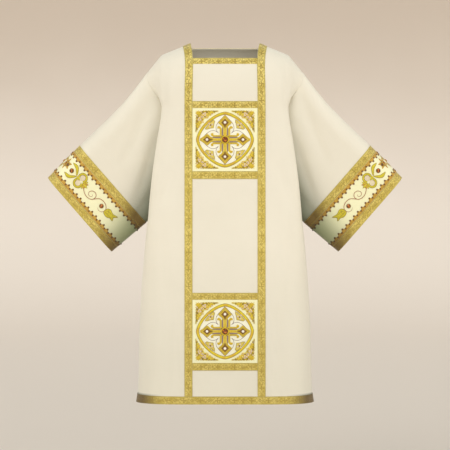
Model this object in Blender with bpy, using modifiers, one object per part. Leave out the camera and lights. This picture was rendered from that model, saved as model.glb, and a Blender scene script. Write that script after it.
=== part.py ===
"""A deacon's dalmatic, worn, with nobody in it. Metres, +Z up, the front faces -Y, +X is the wearer's left.

The origin lies between the two shoulder seams, where the wearer's shoulders carry the cloth.
Front, back and sleeves are walls on one shared skin, a grid of sections. The braids, squares
and cuff bands are strips of that same grid, moved out from it, so they follow the cloth.
"""

import math
from collections import namedtuple

import bpy
import numpy as np
from mathutils import Matrix, Vector

# Cloth and seams
WALL = 0.002
GAP = 0.0003
SEAM_INSET = GAP / 2
BRAID_THICK = 0.0012
SATIN_THICK = 0.0008
BAND_THICK = 0.0010
APPLIQUE_THICK = 0.0014

# Heights of the body's sections
CHEST_Z = -0.195
UNDERARM_Z = -0.600
HEM_Z = -1.241
BRAID_WIDTH = 0.0275

# Depths in front of and behind the shoulder seam: straight lines from chest to hem
FRONT_CHEST_Y = 0.130
FRONT_HEM_Y = 0.166
BACK_CHEST_Y = 0.118
BACK_HEM_Y = 0.158
ROUNDNESS = 2.3

# The two long braids, whose inner edges bound the flat middle of the front
CLAVUS_INNER_X = 0.1115
CLAVUS_OUTER_X = CLAVUS_INNER_X + BRAID_WIDTH
SHOULDER_INNER_X = 0.1204
SHOULDER_OUTER_X = SHOULDER_INNER_X + 0.0268

# Rows of the front between the chest and the hem, where the cross bars and squares start and end
UPPER_BAR_Z = (-0.2013, -0.2255)
UPPER_FOOT_Z = (-0.4418, -0.4685)
LOWER_BAR_Z = (-0.8585, -0.8825)
LOWER_FOOT_Z = (-1.0988, -1.1247)
HEM_BRAID_Z = HEM_Z + BRAID_WIDTH

# Places along the curve from the shoulder seam (0) to the chest (1)
DOME_ROWS = {
    "front": (0.0, 0.17, 0.34, 0.51, 0.60, 0.72, 0.86),
    "back": (0.0, 0.13, 0.26, 0.37, 0.52, 0.68, 0.84),
}
FRONT_NECK_ROW = 3
BACK_NECK_ROW = 2

# A row for each height of the body: the widest point of the panel, then its side seam or armhole
Section = namedtuple("Section", "z edge_x edge_y seam_x seam_y")
SECTIONS = (
    Section(CHEST_Z, 0.2265, 0.066, 0.2230, 0.042),
    Section(-0.2200, 0.2195, 0.070, 0.2120, 0.044),
    Section(-0.2600, 0.2230, 0.072, 0.2140, 0.044),
    Section(-0.3300, 0.2345, 0.074, 0.2230, 0.043),
    Section(-0.4100, 0.2465, 0.076, 0.2330, 0.040),
    Section(-0.5000, 0.2575, 0.076, 0.2410, 0.030),
    Section(-0.5700, 0.2640, 0.070, 0.2440, 0.022),
    Section(UNDERARM_Z, 0.2665, 0.065, 0.2450, 0.000),
    Section(-0.6600, 0.2740, 0.055, 0.2610, 0.000),
    Section(-0.7400, 0.2820, 0.032, 0.2795, 0.000),
    Section(-0.8400, 0.2910, 0.006, 0.2910, 0.000),
    Section(-1.0000, 0.2995, 0.002, 0.2995, 0.000),
    Section(-1.2000, 0.3045, 0.002, 0.3045, 0.000),
    Section(HEM_Z, 0.3100, 0.002, 0.3100, 0.000),
)

# The garment's top outline, over the shoulder and down the arm
TopPoint = namedtuple("TopPoint", "x z")
TOP_LINE = (
    TopPoint(0.0000, 0.0050),
    TopPoint(0.1204, 0.0045),
    TopPoint(0.1470, -0.0068),
    TopPoint(0.1880, -0.0228),
    TopPoint(0.2230, -0.0372),
    TopPoint(0.2510, -0.0735),
    TopPoint(0.3100, -0.1505),
    TopPoint(0.3570, -0.2065),
    TopPoint(0.4125, -0.2620),
    TopPoint(0.5068, -0.3520),
    TopPoint(0.6180, -0.4645),
)
TOP_ROUNDING = 0.006
ARMHOLE_TOP_X = 0.262
NECK_BOW = 0.0050

# Sleeve: upper and lower corners where the cuff trim starts and where it ends
CUFF_START_TOP = (0.5068, -0.3520)
CUFF_START_LOW = (0.2760, -0.6200)
CUFF_END_TOP = (0.6180, -0.4645)
CUFF_END_LOW = (0.3976, -0.7220)
CUFF_DEPTH = 0.160
CUFF_BRAID = 0.028
SLEEVE_TOP_Y = 0.070
SLEEVE_LOW_Y = 0.030
TOP_TURN = 0.17
LOW_TURN = 0.16
SLEEVE_ROWS = (0.06, 0.18, 0.36, 0.58, 0.80)

# Soft troughs in the skirt: centre as a share of the way from clavus to side seam
Fold = namedtuple("Fold", "side x_share start_z depth half_width hand")
FOLDS = (
    Fold("front", 0.62, -0.62, 0.0060, 0.22, -1),
    Fold("front", 0.70, -0.70, 0.0045, 0.20, 1),
    Fold("back", 0.30, -0.45, 0.0060, 0.24, -1),
    Fold("back", 0.78, -0.66, 0.0070, 0.20, -1),
    Fold("back", 0.38, -0.52, 0.0070, 0.24, 1),
    Fold("back", 0.82, -0.62, 0.0055, 0.20, 1),
)

# Raised work on each square
RING_HALF_WIDTH = 0.0990
RING_HALF_HEIGHT = 0.0952
RING_WIDTH = 0.0085
RING_BOW = 1.57
SPRIG_BORDER = 0.0130
SPRIG_CLEAR = 0.0060
SPRIG_LOBE = 0.0026
SPRIG_FROM = 17
ArmPoint = namedtuple("ArmPoint", "across along")
CROSS_ARM = (
    ArmPoint(0.0135, 0.0135),
    ArmPoint(0.0135, 0.0330),
    ArmPoint(0.0160, 0.0405),
    ArmPoint(0.0215, 0.0415),
    ArmPoint(0.0262, 0.0378),
    ArmPoint(0.0282, 0.0440),
    ArmPoint(0.0245, 0.0490),
    ArmPoint(0.0120, 0.0500),
    ArmPoint(0.0165, 0.0550),
    ArmPoint(0.0235, 0.0600),
    ArmPoint(0.0110, 0.0710),
    ArmPoint(0.0000, 0.0830),
)
STONE_R = 0.0100
STONE_HEIGHT = 0.0050
CUFF_STONE_R = 0.0068
CUFF_STONE_HEIGHT = 0.0040
CUFF_STONE_SHARES = (0.115, 0.57)

FIXED_COLUMNS = (0.0, CLAVUS_INNER_X / 2, CLAVUS_INNER_X, CLAVUS_OUTER_X)
SIDE_COLUMNS = 7
HALF_COLUMNS = len(FIXED_COLUMNS) - 1 + SIDE_COLUMNS

UPPER_SQUARE_ROWS_Z = (-0.278, -0.332, -0.387)
LOWER_SQUARE_ROWS_Z = (-0.954, -1.026)
ARM_ROWS_Z = (
    *(CHEST_Z, *UPPER_BAR_Z, *UPPER_SQUARE_ROWS_Z, *UPPER_FOOT_Z),
    *(-0.512, -0.552, -0.582, UNDERARM_Z),
)
SKIRT_ROWS_Z = (
    *(-0.640, -0.710, -0.785, *LOWER_BAR_Z, *LOWER_SQUARE_ROWS_Z, *LOWER_FOOT_Z),
    *(-1.170, HEM_BRAID_Z, HEM_Z),
)
BODY_ROWS_Z = ARM_ROWS_Z + SKIRT_ROWS_Z
UNDERARM_ROW = len(DOME_ROWS["front"]) + len(ARM_ROWS_Z) - 1

Finish = namedtuple("Finish", "name colour roughness metallic")
IVORY = Finish("ivory_cloth", (0.87, 0.80, 0.66), 0.75, 0.0)
GOLD = Finish("gold_braid", (0.62, 0.45, 0.13), 0.42, 0.35)
SATIN = Finish("cream_satin", (0.93, 0.90, 0.66), 0.45, 0.0)
THREAD = Finish("gold_embroidery", (0.75, 0.50, 0.06), 0.40, 0.25)
GARNET = Finish("garnet_glass", (0.25, 0.03, 0.01), 0.12, 0.0)


def eased(xs, ys, x):
    """A smooth curve through the points, with no overshoot between them."""
    xs = np.asarray(xs, float)
    ys = np.asarray(ys, float)
    steps = np.diff(xs)
    slopes = np.diff(ys) / steps
    same_way = slopes[:-1] * slopes[1:] > 0
    inner = np.where(same_way, 2 * slopes[:-1] * slopes[1:] / (slopes[:-1] + slopes[1:] + 1e-12), 0)
    tangents = np.concatenate([[slopes[0]], inner, [slopes[-1]]])
    i = int(np.clip(np.searchsorted(xs, x) - 1, 0, len(steps) - 1))
    t = (x - xs[i]) / steps[i]
    return (
        (1 + 2 * t) * (1 - t) ** 2 * ys[i]
        + t * (1 - t) ** 2 * steps[i] * tangents[i]
        + t * t * (3 - 2 * t) * ys[i + 1]
        + t * t * (t - 1) * steps[i] * tangents[i + 1]
    )


def section_at(z):
    """The body's section at a height, read smoothly from the table, which runs downwards."""
    depth = [-row.z for row in SECTIONS]
    values = {
        name: eased(depth, [getattr(row, name) for row in SECTIONS], -z)
        for name in Section._fields[1:]
    }
    return Section(z=z, **values)


def top_z(x):
    """The top outline's height at x, with its corners rounded."""
    spots = x + TOP_ROUNDING * np.array([-1.0, -0.5, 0.0, 0.5, 1.0])
    return float(np.interp(spots, [p.x for p in TOP_LINE], [p.z for p in TOP_LINE]).mean())


def panel_depth(side, z):
    """How far the panel's middle lies from the shoulder seam at a height."""
    chest, hem = (FRONT_CHEST_Y, FRONT_HEM_Y) if side == "front" else (BACK_CHEST_Y, BACK_HEM_Y)
    share = (CHEST_Z - z) / (CHEST_Z - HEM_Z)
    return chest + (hem - chest) * share


def fold_depth(side, hand, x_share, z):
    """How far the skirt's soft troughs draw the cloth in at one place."""
    drawn = 0.0
    for fold in FOLDS:
        if fold.side != side or fold.hand != hand or z > fold.start_z:
            continue
        down = (fold.start_z - z) / (fold.start_z - HEM_Z)
        across = (x_share - fold.x_share) / fold.half_width
        drawn += fold.depth * math.sin(0.5 * math.pi * down) * math.exp(-across * across)
    return drawn


def half_section(side, hand, z):
    """Points of one horizontal section from the middle to the side seam or the armhole."""
    section = section_at(z)
    depth = panel_depth(side, z)
    power = 2 / ROUNDNESS
    turn = np.radians(np.linspace(0, 90, 60))
    x = CLAVUS_INNER_X + (section.edge_x - CLAVUS_INNER_X) * np.sin(turn) ** power
    y = section.edge_y + (depth - section.edge_y) * np.clip(np.cos(turn), 0, 1) ** power
    hook = np.radians(np.linspace(0, 70, 20))[1:]
    inwards = (1 - np.cos(hook)) / (1 - math.cos(hook[-1]))
    hook_x = section.edge_x - (section.edge_x - section.seam_x) * inwards
    hook_y = section.edge_y - (section.edge_y - section.seam_y) * np.sin(hook) / math.sin(hook[-1])
    curve = np.column_stack([np.concatenate([x, hook_x]), np.concatenate([y, hook_y])])
    outer_y = float(np.interp(CLAVUS_OUTER_X, x, y))
    fixed = [(column, depth) for column in FIXED_COLUMNS[:-1]] + [(CLAVUS_OUTER_X, outer_y)]
    rest = np.vstack([[CLAVUS_OUTER_X, outer_y], curve[curve[:, 1] < outer_y]])
    lengths = np.linalg.norm(np.diff(rest, axis=0), axis=1)
    along = np.concatenate([[0], np.cumsum(lengths)])
    spots = np.linspace(0, along[-1], SIDE_COLUMNS + 1)[1:]
    placed = [(np.interp(s, along, rest[:, 0]), np.interp(s, along, rest[:, 1])) for s in spots]
    sign = -1 if side == "front" else 1
    points = []
    for n, (column_x, column_y) in enumerate(fixed + placed):
        share = max(0, n - len(FIXED_COLUMNS) + 1) / SIDE_COLUMNS
        inset = fold_depth(side, hand, share, z) * min(1.0, 4 * share) * min(1.0, 6 * (1 - share))
        points.append((hand * column_x, sign * (column_y - inset), z))
    return np.array(points)


def shoulder_point(n, hand):
    """The point of column n on the shoulder seam."""
    inner = (0.0, SHOULDER_INNER_X / 2, SHOULDER_INNER_X, SHOULDER_OUTER_X)
    if n < len(inner):
        x = inner[n]
    else:
        share = (n - len(inner) + 1) / SIDE_COLUMNS
        x = SHOULDER_OUTER_X + (ARMHOLE_TOP_X - SHOULDER_OUTER_X) * share
    return np.array([hand * x, 0.0, top_z(x)])


def dome_row(side, hand, share_down):
    """Points at one place along the curves that run from the shoulder seam to the chest."""
    chest = half_section(side, hand, CHEST_Z)
    points = []
    for n, low in enumerate(chest):
        high = shoulder_point(n, hand)
        outwards = max(0, n - len(FIXED_COLUMNS) + 1) / SIDE_COLUMNS
        drop = high[2] - low[2]
        forward = np.array([0.02 * hand * outwards**4, 0.70 * low[1], -0.10 * drop * outwards])
        upward = np.array([0.05 * hand * outwards**6, 0.0, (0.60 - 0.12 * outwards) * drop])
        a, b = (1 - share_down), share_down
        point = a**3 * high + 3 * a * a * b * (high + forward) + 3 * a * b * b * (low + upward) + b**3 * low
        inwards = NECK_BOW * min(1, n / 2) * (1 - outwards) ** 2
        point[0] -= hand * inwards * math.sin(math.pi * b) ** 2
        points.append(point)
    return np.array(points)


def body_grid(side):
    """The whole skin of one panel: rows from shoulder to hem, columns from the right hand to the left."""
    rows = []
    for share in DOME_ROWS[side]:
        left, right = dome_row(side, 1, share), dome_row(side, -1, share)
        rows.append(np.vstack([right[::-1], left[1:]]))
    for z in BODY_ROWS_Z:
        left, right = half_section(side, 1, z), half_section(side, -1, z)
        rows.append(np.vstack([right[::-1], left[1:]]))
    return np.array(rows)


def sleeve_half_depth(share_down):
    """Half the sleeve's thickness from front to back: round over the arm, slack and narrow below."""
    depth = SLEEVE_TOP_Y + (SLEEVE_LOW_Y - SLEEVE_TOP_Y) * share_down
    over = 1 - (1 - min(share_down / TOP_TURN, 1)) ** 2
    under = 1 - (1 - min((1 - share_down) / LOW_TURN, 1)) ** 2
    return depth * math.sqrt(max(over, 0)) * math.sqrt(max(under, 0))


def sleeve_grid(front, back, hand):
    """Rings of the sleeve from the armhole to the cuff: down the front, then up the back."""
    column = -1 if hand > 0 else 0
    armhole = np.vstack([front[: UNDERARM_ROW + 1, column], back[UNDERARM_ROW - 1 : 0 : -1, column]])
    branch = armhole[: UNDERARM_ROW + 1]
    along = np.concatenate([[0], np.cumsum(np.linalg.norm(np.diff(branch, axis=0), axis=1))])
    down = along / along[-1]
    down = np.concatenate([down, down[-2:0:-1]])
    sign = np.where(np.arange(len(down)) <= UNDERARM_ROW, -1.0, 1.0)
    depth = sign * np.array([sleeve_half_depth(h) for h in down])

    def ring(top, low):
        top, low = np.array(top), np.array(low)
        flat = top + (low - top) * down[:, None]
        return np.column_stack([hand * flat[:, 0], depth, flat[:, 1]])

    start, end = ring(CUFF_START_TOP, CUFF_START_LOW), ring(CUFF_END_TOP, CUFF_END_LOW)
    rows = [armhole]
    for s in SLEEVE_ROWS:
        row = armhole + (start - armhole) * s
        row[:, 1] = armhole[:, 1] + (start[:, 1] - armhole[:, 1]) * (1 - (1 - s) ** 3)
        top_x = ARMHOLE_TOP_X + (CUFF_START_TOP[0] - ARMHOLE_TOP_X) * s
        row[:, 2] += (top_z(top_x) - row[0, 2]) * (1 - down) ** 2
        rows.append(row)
    places = (0, CUFF_BRAID, CUFF_DEPTH - CUFF_BRAID, CUFF_DEPTH)
    rows += [start + (end - start) * place / CUFF_DEPTH for place in places]
    return np.array(rows)


def quads(rows, columns, closed, missing=()):
    """Cells of a grid as (row, column, next row, next column)."""
    for i in range(rows - 1):
        for j in range(columns if closed else columns - 1):
            if (i, j) not in missing:
                yield i, j, i + 1, (j + 1) % columns


class Skin:
    """A grid of points: which way it faces, whether its columns close into a ring, and its cells' slant."""

    def __init__(self, points, outwards, closed=False, missing=(), slant=0):
        self.points = points
        self.outwards = outwards
        self.closed = closed
        self.missing = missing
        self.slant = slant
        self.lift = np.zeros_like(points)

    def triangles(self):
        splits = (((0, 1, 2), (0, 2, 3)), ((1, 2, 3), (1, 3, 0)))
        for i, j, i2, j2 in quads(*self.points.shape[:2], self.closed, self.missing):
            corners = ((i, j), (i, j2), (i2, j2), (i2, j))
            for triple in splits[self.slant]:
                yield [corners[n] for n in (triple if self.outwards > 0 else triple[::-1])]


def share_normals(skins):
    """Sets each skin's lift: how far each point moves for every metre outwards, the same across seams."""
    gathered = {}
    for skin in skins:
        for triangle in skin.triangles():
            a, b, c = (skin.points[at] for at in triangle)
            normal = np.cross(b - a, c - a)
            length = np.linalg.norm(normal)
            if length < 1e-12:
                continue
            normal /= length
            for at, (p, q, r) in zip(triangle, ((a, b, c), (b, c, a), (c, a, b))):
                u, v = q - p, r - p
                cosine = np.dot(u, v) / (np.linalg.norm(u) * np.linalg.norm(v))
                angle = math.acos(max(-1.0, min(1.0, cosine)))
                gathered.setdefault(tuple(np.round(skin.points[at], 6) + 0.0), []).append((angle, normal))
    lifts = {}
    for key, faces in gathered.items():
        mean = sum(angle * normal for angle, normal in faces)
        mean /= np.linalg.norm(mean)
        total = sum(angle for angle, _ in faces)
        facing = sum(angle * np.dot(normal, mean) for angle, normal in faces) / total
        lifts[key] = mean / max(facing, 0.72)
    for skin in skins:
        for at in np.ndindex(*skin.points.shape[:2]):
            skin.lift[at] = lifts.get(tuple(np.round(skin.points[at], 6) + 0.0), (0, 0, 0))


def drawn_in(values, edge, inwards):
    """The outer row or column of a grid moved towards its neighbour by a length at each point."""
    step = np.linalg.norm(values[inwards] - values[edge], axis=-1, keepdims=True)
    return SEAM_INSET / np.maximum(step, 1e-6)


def strip(skin, rows=slice(None), columns=slice(None)):
    """A copy of part of a skin, with its open edges drawn in so that neighbours stay apart."""
    points = skin.points[rows, columns].copy()
    lift = skin.lift[rows, columns].copy()
    whole_ring = skin.closed and columns == slice(None)
    for view in ((points, lift), (points.swapaxes(0, 1), lift.swapaxes(0, 1))):
        if view[0] is not points and whole_ring:
            continue
        for edge, inwards in ((0, 1), (-1, -2)):
            share = drawn_in(view[0], edge, inwards)
            for values in view:
                values[edge] += (values[inwards] - values[edge]) * share
    part = Skin(points, skin.outwards, whole_ring, slant=skin.slant)
    part.lift = lift
    return part


def joined_over_shoulder(front, back):
    """Two strips that share their top row, as one strip that runs up the front and down the back."""
    part = Skin(np.concatenate([front.points[::-1], back.points[1:]]), -front.outwards, slant=back.slant)
    part.lift = np.concatenate([front.lift[::-1], back.lift[1:]])
    return part


def material(finish):
    """The object's own material: one Principled BSDF."""
    made = bpy.data.materials.new(finish.name)
    made.use_nodes = True
    shader = made.node_tree.nodes["Principled BSDF"]
    shader.inputs["Base Color"].default_value = (*finish.colour, 1)
    shader.inputs["Roughness"].default_value = finish.roughness
    shader.inputs["Metallic"].default_value = finish.metallic
    made.diffuse_color = (*finish.colour, 1)
    return made


def place(name, data, finish, collection):
    """Links a new object with its own material."""
    made = bpy.data.objects.new(name, data)
    data.materials.append(material(finish))
    collection.objects.link(made)
    return made


def wall(name, skin, low, high, finish, collection):
    """A closed wall between two distances out from the skin. Solidify would cross the rims at a seam."""
    inner = skin.points + skin.lift * low
    outer = skin.points + skin.lift * high
    rows, columns = skin.points.shape[:2]
    count = rows * columns
    index = np.arange(count).reshape(rows, columns)
    edges = {}
    faces = []
    for triangle in skin.triangles():
        a, b, c = (int(index[at]) for at in triangle)
        faces += [(count + a, count + b, count + c), (c, b, a)]
        for start, end in ((a, b), (b, c), (c, a)):
            edges[start, end] = True
    points = np.vstack([inner.reshape(-1, 3), outer.reshape(-1, 3)])
    for start, end in edges:
        if (end, start) in edges:
            continue
        # Neighbouring pieces split the rim between them on the same slant, so that it never crosses
        if tuple(points[start, ::-1].round(3)) < tuple(points[end, ::-1].round(3)):
            faces += [(start, end, end + count), (start, end + count, start + count)]
        else:
            faces += [(end, start + count, start), (end, end + count, start + count)]
    used = sorted({corner for face in faces for corner in face})
    order = {old: new for new, old in enumerate(used)}
    mesh = bpy.data.meshes.new(name)
    mesh.from_pydata(points[used].tolist(), [], [[order[corner] for corner in face] for face in faces])
    mesh.update()
    return place(name, mesh, finish, collection)


def cross_outline():
    """A cross whose four arms put out two leaves each and end in a lozenge."""
    half = [complex(point.across, point.along) for point in CROSS_ARM]
    arm = half + [-point.conjugate() for point in reversed(half[1:-1])]
    turned = [point * 1j**quarter for quarter in range(4) for point in arm]
    return [(point.real, point.imag) for point in turned]


def ring_reach(angle, margin):
    """How far the ring's edge lies from its middle in one direction, for a pointed oval of four bows."""
    across = abs(math.cos(angle)) / (RING_HALF_WIDTH + margin)
    along = abs(math.sin(angle)) / (RING_HALF_HEIGHT + margin)
    return (across**RING_BOW + along**RING_BOW) ** (-1 / RING_BOW)


def ring_outline(margin):
    """One edge of the ring."""
    angles = np.radians(np.arange(0, 360, 7.5))
    return [(ring_reach(a, margin) * math.cos(a), ring_reach(a, margin) * math.sin(a)) for a in angles]


def sprig_outline(half_width, half_height, across, over):
    """Leaf work that fills the corner between the ring and the square's border, with lobed edges."""
    outer_angles = np.radians(np.arange(SPRIG_FROM, 91 - SPRIG_FROM, 2))
    inner_angles = np.radians(np.arange(90 - SPRIG_FROM - 3, SPRIG_FROM, -3))
    outline = []
    for a in outer_angles:
        lobes = SPRIG_LOBE * abs(math.sin(9 * (a - math.pi / 4)))
        edge = min((half_width - SPRIG_BORDER) / math.cos(a), (half_height - SPRIG_BORDER) / math.sin(a))
        outline.append((edge - lobes, a))
    for a in inner_angles:
        lobes = SPRIG_LOBE * abs(math.cos(9 * (a - math.pi / 4)))
        outline.append((ring_reach(a, SPRIG_CLEAR) + lobes, a))
    return [(across * r * math.cos(a), over * r * math.sin(a)) for r, a in outline]


def flat_shape(name, outlines, thickness, matrix, finish, collection):
    """A flat outline, with any holes in it, cut out of stiffened work of one thickness."""
    curve = bpy.data.curves.new(name, "CURVE")
    curve.dimensions = "2D"
    curve.fill_mode = "BOTH"
    curve.extrude = thickness / 2
    for outline in outlines:
        spline = curve.splines.new("POLY")
        spline.points.add(len(outline) - 1)
        for point, (x, y) in zip(spline.points, outline):
            point.co = (x, y, 0, 1)
        spline.use_cyclic_u = True
    made = place(name, curve, finish, collection)
    made.matrix_world = matrix
    return made


def stone(name, radius, height, matrix, collection):
    """A round domed stone with a flat back: half an outline, turned."""
    profile = [(0, height)]
    for angle in np.radians((30, 60, 90)):
        profile.append((radius * math.sin(angle), height * (0.2 + 0.8 * math.cos(angle))))
    profile += [(radius, 0), (0, 0)]
    mesh = bpy.data.meshes.new(name)
    mesh.from_pydata([(x, 0, z) for x, z in profile], [(n, n + 1) for n in range(len(profile) - 1)], [])
    made = place(name, mesh, GARNET, collection)
    turned = made.modifiers.new("turned", "SCREW")
    turned.axis = "Z"
    turned.steps = turned.render_steps = 12
    turned.use_merge_vertices = True
    turned.merge_threshold = 0.0001
    made.matrix_world = matrix
    return made


def facing(position, outwards, up):
    """A matrix whose Z axis is outwards and whose Y axis is as near to up as it can be."""
    z = Vector(outwards).normalized()
    x = Vector(up).cross(z).normalized()
    return Matrix.Translation(Vector(position)) @ Matrix((x, z.cross(x), z)).transposed().to_4x4()


def work_on_square(level, top, foot, collection):
    """The ring, cross, corner sprigs and stone on one square of the front."""
    chest = Vector((0, -panel_depth("front", top), top))
    lower = Vector((0, -panel_depth("front", foot), foot))
    up = (chest - lower).normalized()
    outwards = Vector((1, 0, 0)).cross(up)
    middle = (chest + lower) / 2
    base = GAP + SATIN_THICK + GAP
    work = facing(middle + outwards * (base + APPLIQUE_THICK / 2), outwards, up)
    ring = [ring_outline(0), ring_outline(-RING_WIDTH)]
    flat_shape(f"ring_{level}", ring, APPLIQUE_THICK, work, THREAD, collection)
    flat_shape(f"cross_{level}", [cross_outline()], APPLIQUE_THICK, work, THREAD, collection)
    half_height = (chest - lower).length / 2
    for n, (across, over) in enumerate(((1, 1), (-1, 1), (-1, -1), (1, -1))):
        outline = sprig_outline(CLAVUS_INNER_X, half_height, across, over)
        flat_shape(f"sprig_{level}_{n + 1}", [outline], APPLIQUE_THICK, work, THREAD, collection)
    seat = middle + outwards * (base + APPLIQUE_THICK + GAP)
    stone(f"stone_{level}", STONE_R, STONE_HEIGHT, facing(seat, outwards, up), collection)


def cuff_stones(name, skin, band_row, collection):
    """Stones along the middle of a cuff band, placed by their share of the way down, front and back."""
    ring = (skin.points[band_row] + skin.points[band_row + 1]) / 2
    drop = ring[UNDERARM_ROW] - ring[0]
    shares = (ring - ring[0]) @ drop / (drop @ drop)
    columns = len(ring)
    for side, cells in (("front", range(UNDERARM_ROW)), ("back", range(UNDERARM_ROW, columns))):
        for n, share in enumerate(CUFF_STONE_SHARES):
            cell = next(c for c in cells if (shares[c] - share) * (shares[(c + 1) % columns] - share) <= 0)
            after = (cell + 1) % columns
            part = (share - shares[cell]) / (shares[after] - shares[cell])
            corners = [skin.points[band_row + row, column] for row in (0, 1) for column in (cell, after)]
            outwards = np.cross(corners[1] - corners[2], corners[3] - corners[0]) * skin.outwards
            outwards /= np.linalg.norm(outwards)
            middle = ring[cell] + (ring[after] - ring[cell]) * part
            seat = middle + outwards * (GAP + BAND_THICK + 2 * GAP)
            matrix = facing(seat, outwards, (0, 0, 1))
            stone(f"{name}_{side}_{n + 1}", CUFF_STONE_R, CUFF_STONE_HEIGHT, matrix, collection)


def build():
    """Clears the scene and makes the garment's pieces."""
    for old in list(bpy.data.objects):
        bpy.data.objects.remove(old)
    collection = bpy.data.collections.new("dalmatic")
    bpy.context.scene.collection.children.link(collection)

    middle = HALF_COLUMNS
    clavus = len(FIXED_COLUMNS) - 2
    neck_columns = range(middle - clavus, middle + clavus)
    front_hole = {(i, j) for i in range(FRONT_NECK_ROW) for j in neck_columns}
    back_hole = {(i, j) for i in range(BACK_NECK_ROW) for j in neck_columns}
    front = Skin(body_grid("front"), -1, missing=front_hole)
    back = Skin(body_grid("back"), 1, missing=back_hole, slant=1)
    sleeves = {
        "left": Skin(sleeve_grid(front.points, back.points, 1), 1, closed=True),
        "right": Skin(sleeve_grid(front.points, back.points, -1), -1, closed=True),
    }
    share_normals([front, back, *sleeves.values()])

    for name, skin in (("front_panel", front), ("back_panel", back)):
        part = strip(skin)
        part.missing = skin.missing
        wall(name, part, -WALL, 0, IVORY, collection)

    rows = [*DOME_ROWS["front"], *BODY_ROWS_Z]
    hem_row = rows.index(HEM_BRAID_Z)
    for name, first in (("clavus_left", middle + clavus), ("clavus_right", middle - clavus - 1)):
        halves = []
        for whole in (front, back):
            half = Skin(whole.points[: hem_row + 1, first : first + 2], whole.outwards, slant=whole.slant)
            half.lift = whole.lift[: hem_row + 1, first : first + 2]
            halves.append(half)
        wall(name, strip(joined_over_shoulder(*halves)), GAP, GAP + BRAID_THICK, GOLD, collection)

    between = slice(middle - clavus, middle + clavus + 1)

    def across(name, skin, start, end, thick, finish):
        wall(name, strip(skin, slice(start, end + 1), between), GAP, GAP + thick, finish, collection)

    across("neck_braid_front", front, FRONT_NECK_ROW, FRONT_NECK_ROW + 1, BRAID_THICK, GOLD)
    across("neck_braid_back", back, BACK_NECK_ROW, BACK_NECK_ROW + 1, BRAID_THICK, GOLD)
    for level, bar, foot in (("upper", UPPER_BAR_Z, UPPER_FOOT_Z), ("lower", LOWER_BAR_Z, LOWER_FOOT_Z)):
        bar_row, foot_row = rows.index(bar[0]), rows.index(foot[0])
        across(f"bar_{level}_top", front, bar_row, bar_row + 1, BRAID_THICK, GOLD)
        across(f"square_{level}", front, bar_row + 1, foot_row, SATIN_THICK, SATIN)
        across(f"bar_{level}_foot", front, foot_row, foot_row + 1, BRAID_THICK, GOLD)
        work_on_square(level, bar[1], foot[0], collection)

    def hem_ring(front_values, back_values):
        return np.concatenate([front_values[hem_row:], back_values[hem_row:, -2:0:-1]], axis=1)

    hem = Skin(hem_ring(front.points, back.points), front.outwards, closed=True)
    hem.lift = hem_ring(front.lift, back.lift)
    wall("hem_braid", strip(hem), GAP, GAP + BRAID_THICK, GOLD, collection)

    cuff_row = len(SLEEVE_ROWS) + 1
    for hand, skin in sleeves.items():
        wall(f"sleeve_{hand}", strip(skin), -WALL, 0, IVORY, collection)
        inner, band, outer = (slice(cuff_row + n, cuff_row + n + 2) for n in range(3))
        wall(f"cuff_braid_inner_{hand}", strip(skin, inner), GAP, GAP + BRAID_THICK, GOLD, collection)
        wall(f"cuff_band_{hand}", strip(skin, band), GAP, GAP + BAND_THICK, SATIN, collection)
        wall(f"cuff_braid_outer_{hand}", strip(skin, outer), GAP, GAP + BRAID_THICK, GOLD, collection)
        cuff_stones(f"cuff_stone_{hand}", skin, cuff_row + 1, collection)


build()
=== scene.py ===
import math
from collections import namedtuple

import bpy
import numpy as np
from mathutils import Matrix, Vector


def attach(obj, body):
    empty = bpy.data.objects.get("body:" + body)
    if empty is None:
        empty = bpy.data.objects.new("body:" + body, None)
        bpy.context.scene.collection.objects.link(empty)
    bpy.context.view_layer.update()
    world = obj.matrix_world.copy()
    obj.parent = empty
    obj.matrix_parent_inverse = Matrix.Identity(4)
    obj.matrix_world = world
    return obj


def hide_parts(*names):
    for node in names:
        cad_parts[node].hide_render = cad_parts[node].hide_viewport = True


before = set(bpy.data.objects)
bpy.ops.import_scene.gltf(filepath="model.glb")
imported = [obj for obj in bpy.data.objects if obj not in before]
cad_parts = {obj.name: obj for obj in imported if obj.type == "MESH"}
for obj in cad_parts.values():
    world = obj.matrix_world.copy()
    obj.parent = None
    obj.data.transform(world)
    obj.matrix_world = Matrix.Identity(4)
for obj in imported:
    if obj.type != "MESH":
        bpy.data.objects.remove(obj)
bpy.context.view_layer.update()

print("frame:", len(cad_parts), "solids")


# One socket of a material, which adds Math nodes as it is reckoned with
class Wire:
    def __init__(self, finish, socket):
        self.finish = finish
        self.socket = socket

    def math(self, operation, other=0.0, turned=False):
        first, second = (other, self) if turned else (self, other)
        return self.finish.node("ShaderNodeMath", {"operation": operation}, {0: first, 1: second})

    def __add__(self, other):
        return self.math("ADD", other)

    def __radd__(self, other):
        return self.math("ADD", other, True)

    def __sub__(self, other):
        return self.math("SUBTRACT", other)

    def __rsub__(self, other):
        return self.math("SUBTRACT", other, True)

    def __mul__(self, other):
        return self.math("MULTIPLY", other)

    def __rmul__(self, other):
        return self.math("MULTIPLY", other, True)

    def __truediv__(self, other):
        return self.math("DIVIDE", other)

    def __pow__(self, other):
        return self.math("POWER", other)

    def __mod__(self, other):
        return self.math("FLOORED_MODULO", other)

    def __abs__(self):
        return self.math("ABSOLUTE")

    def wave(self, length):
        return (self * (2 * math.pi / length)).math("SINE")

    def smaller(self, other):
        return self.math("MINIMUM", other)

    def larger(self, other):
        return self.math("MAXIMUM", other)

    # 0 below the first value, 1 above the second, smooth between
    def rise(self, low, high):
        settings = {"interpolation_type": "SMOOTHSTEP"}
        return self.finish.node("ShaderNodeMapRange", settings, {0: self, 1: low, 2: high, 3: 0.0, 4: 1.0})

    def fall(self, low, high):
        return 1 - self.rise(low, high)


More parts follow.
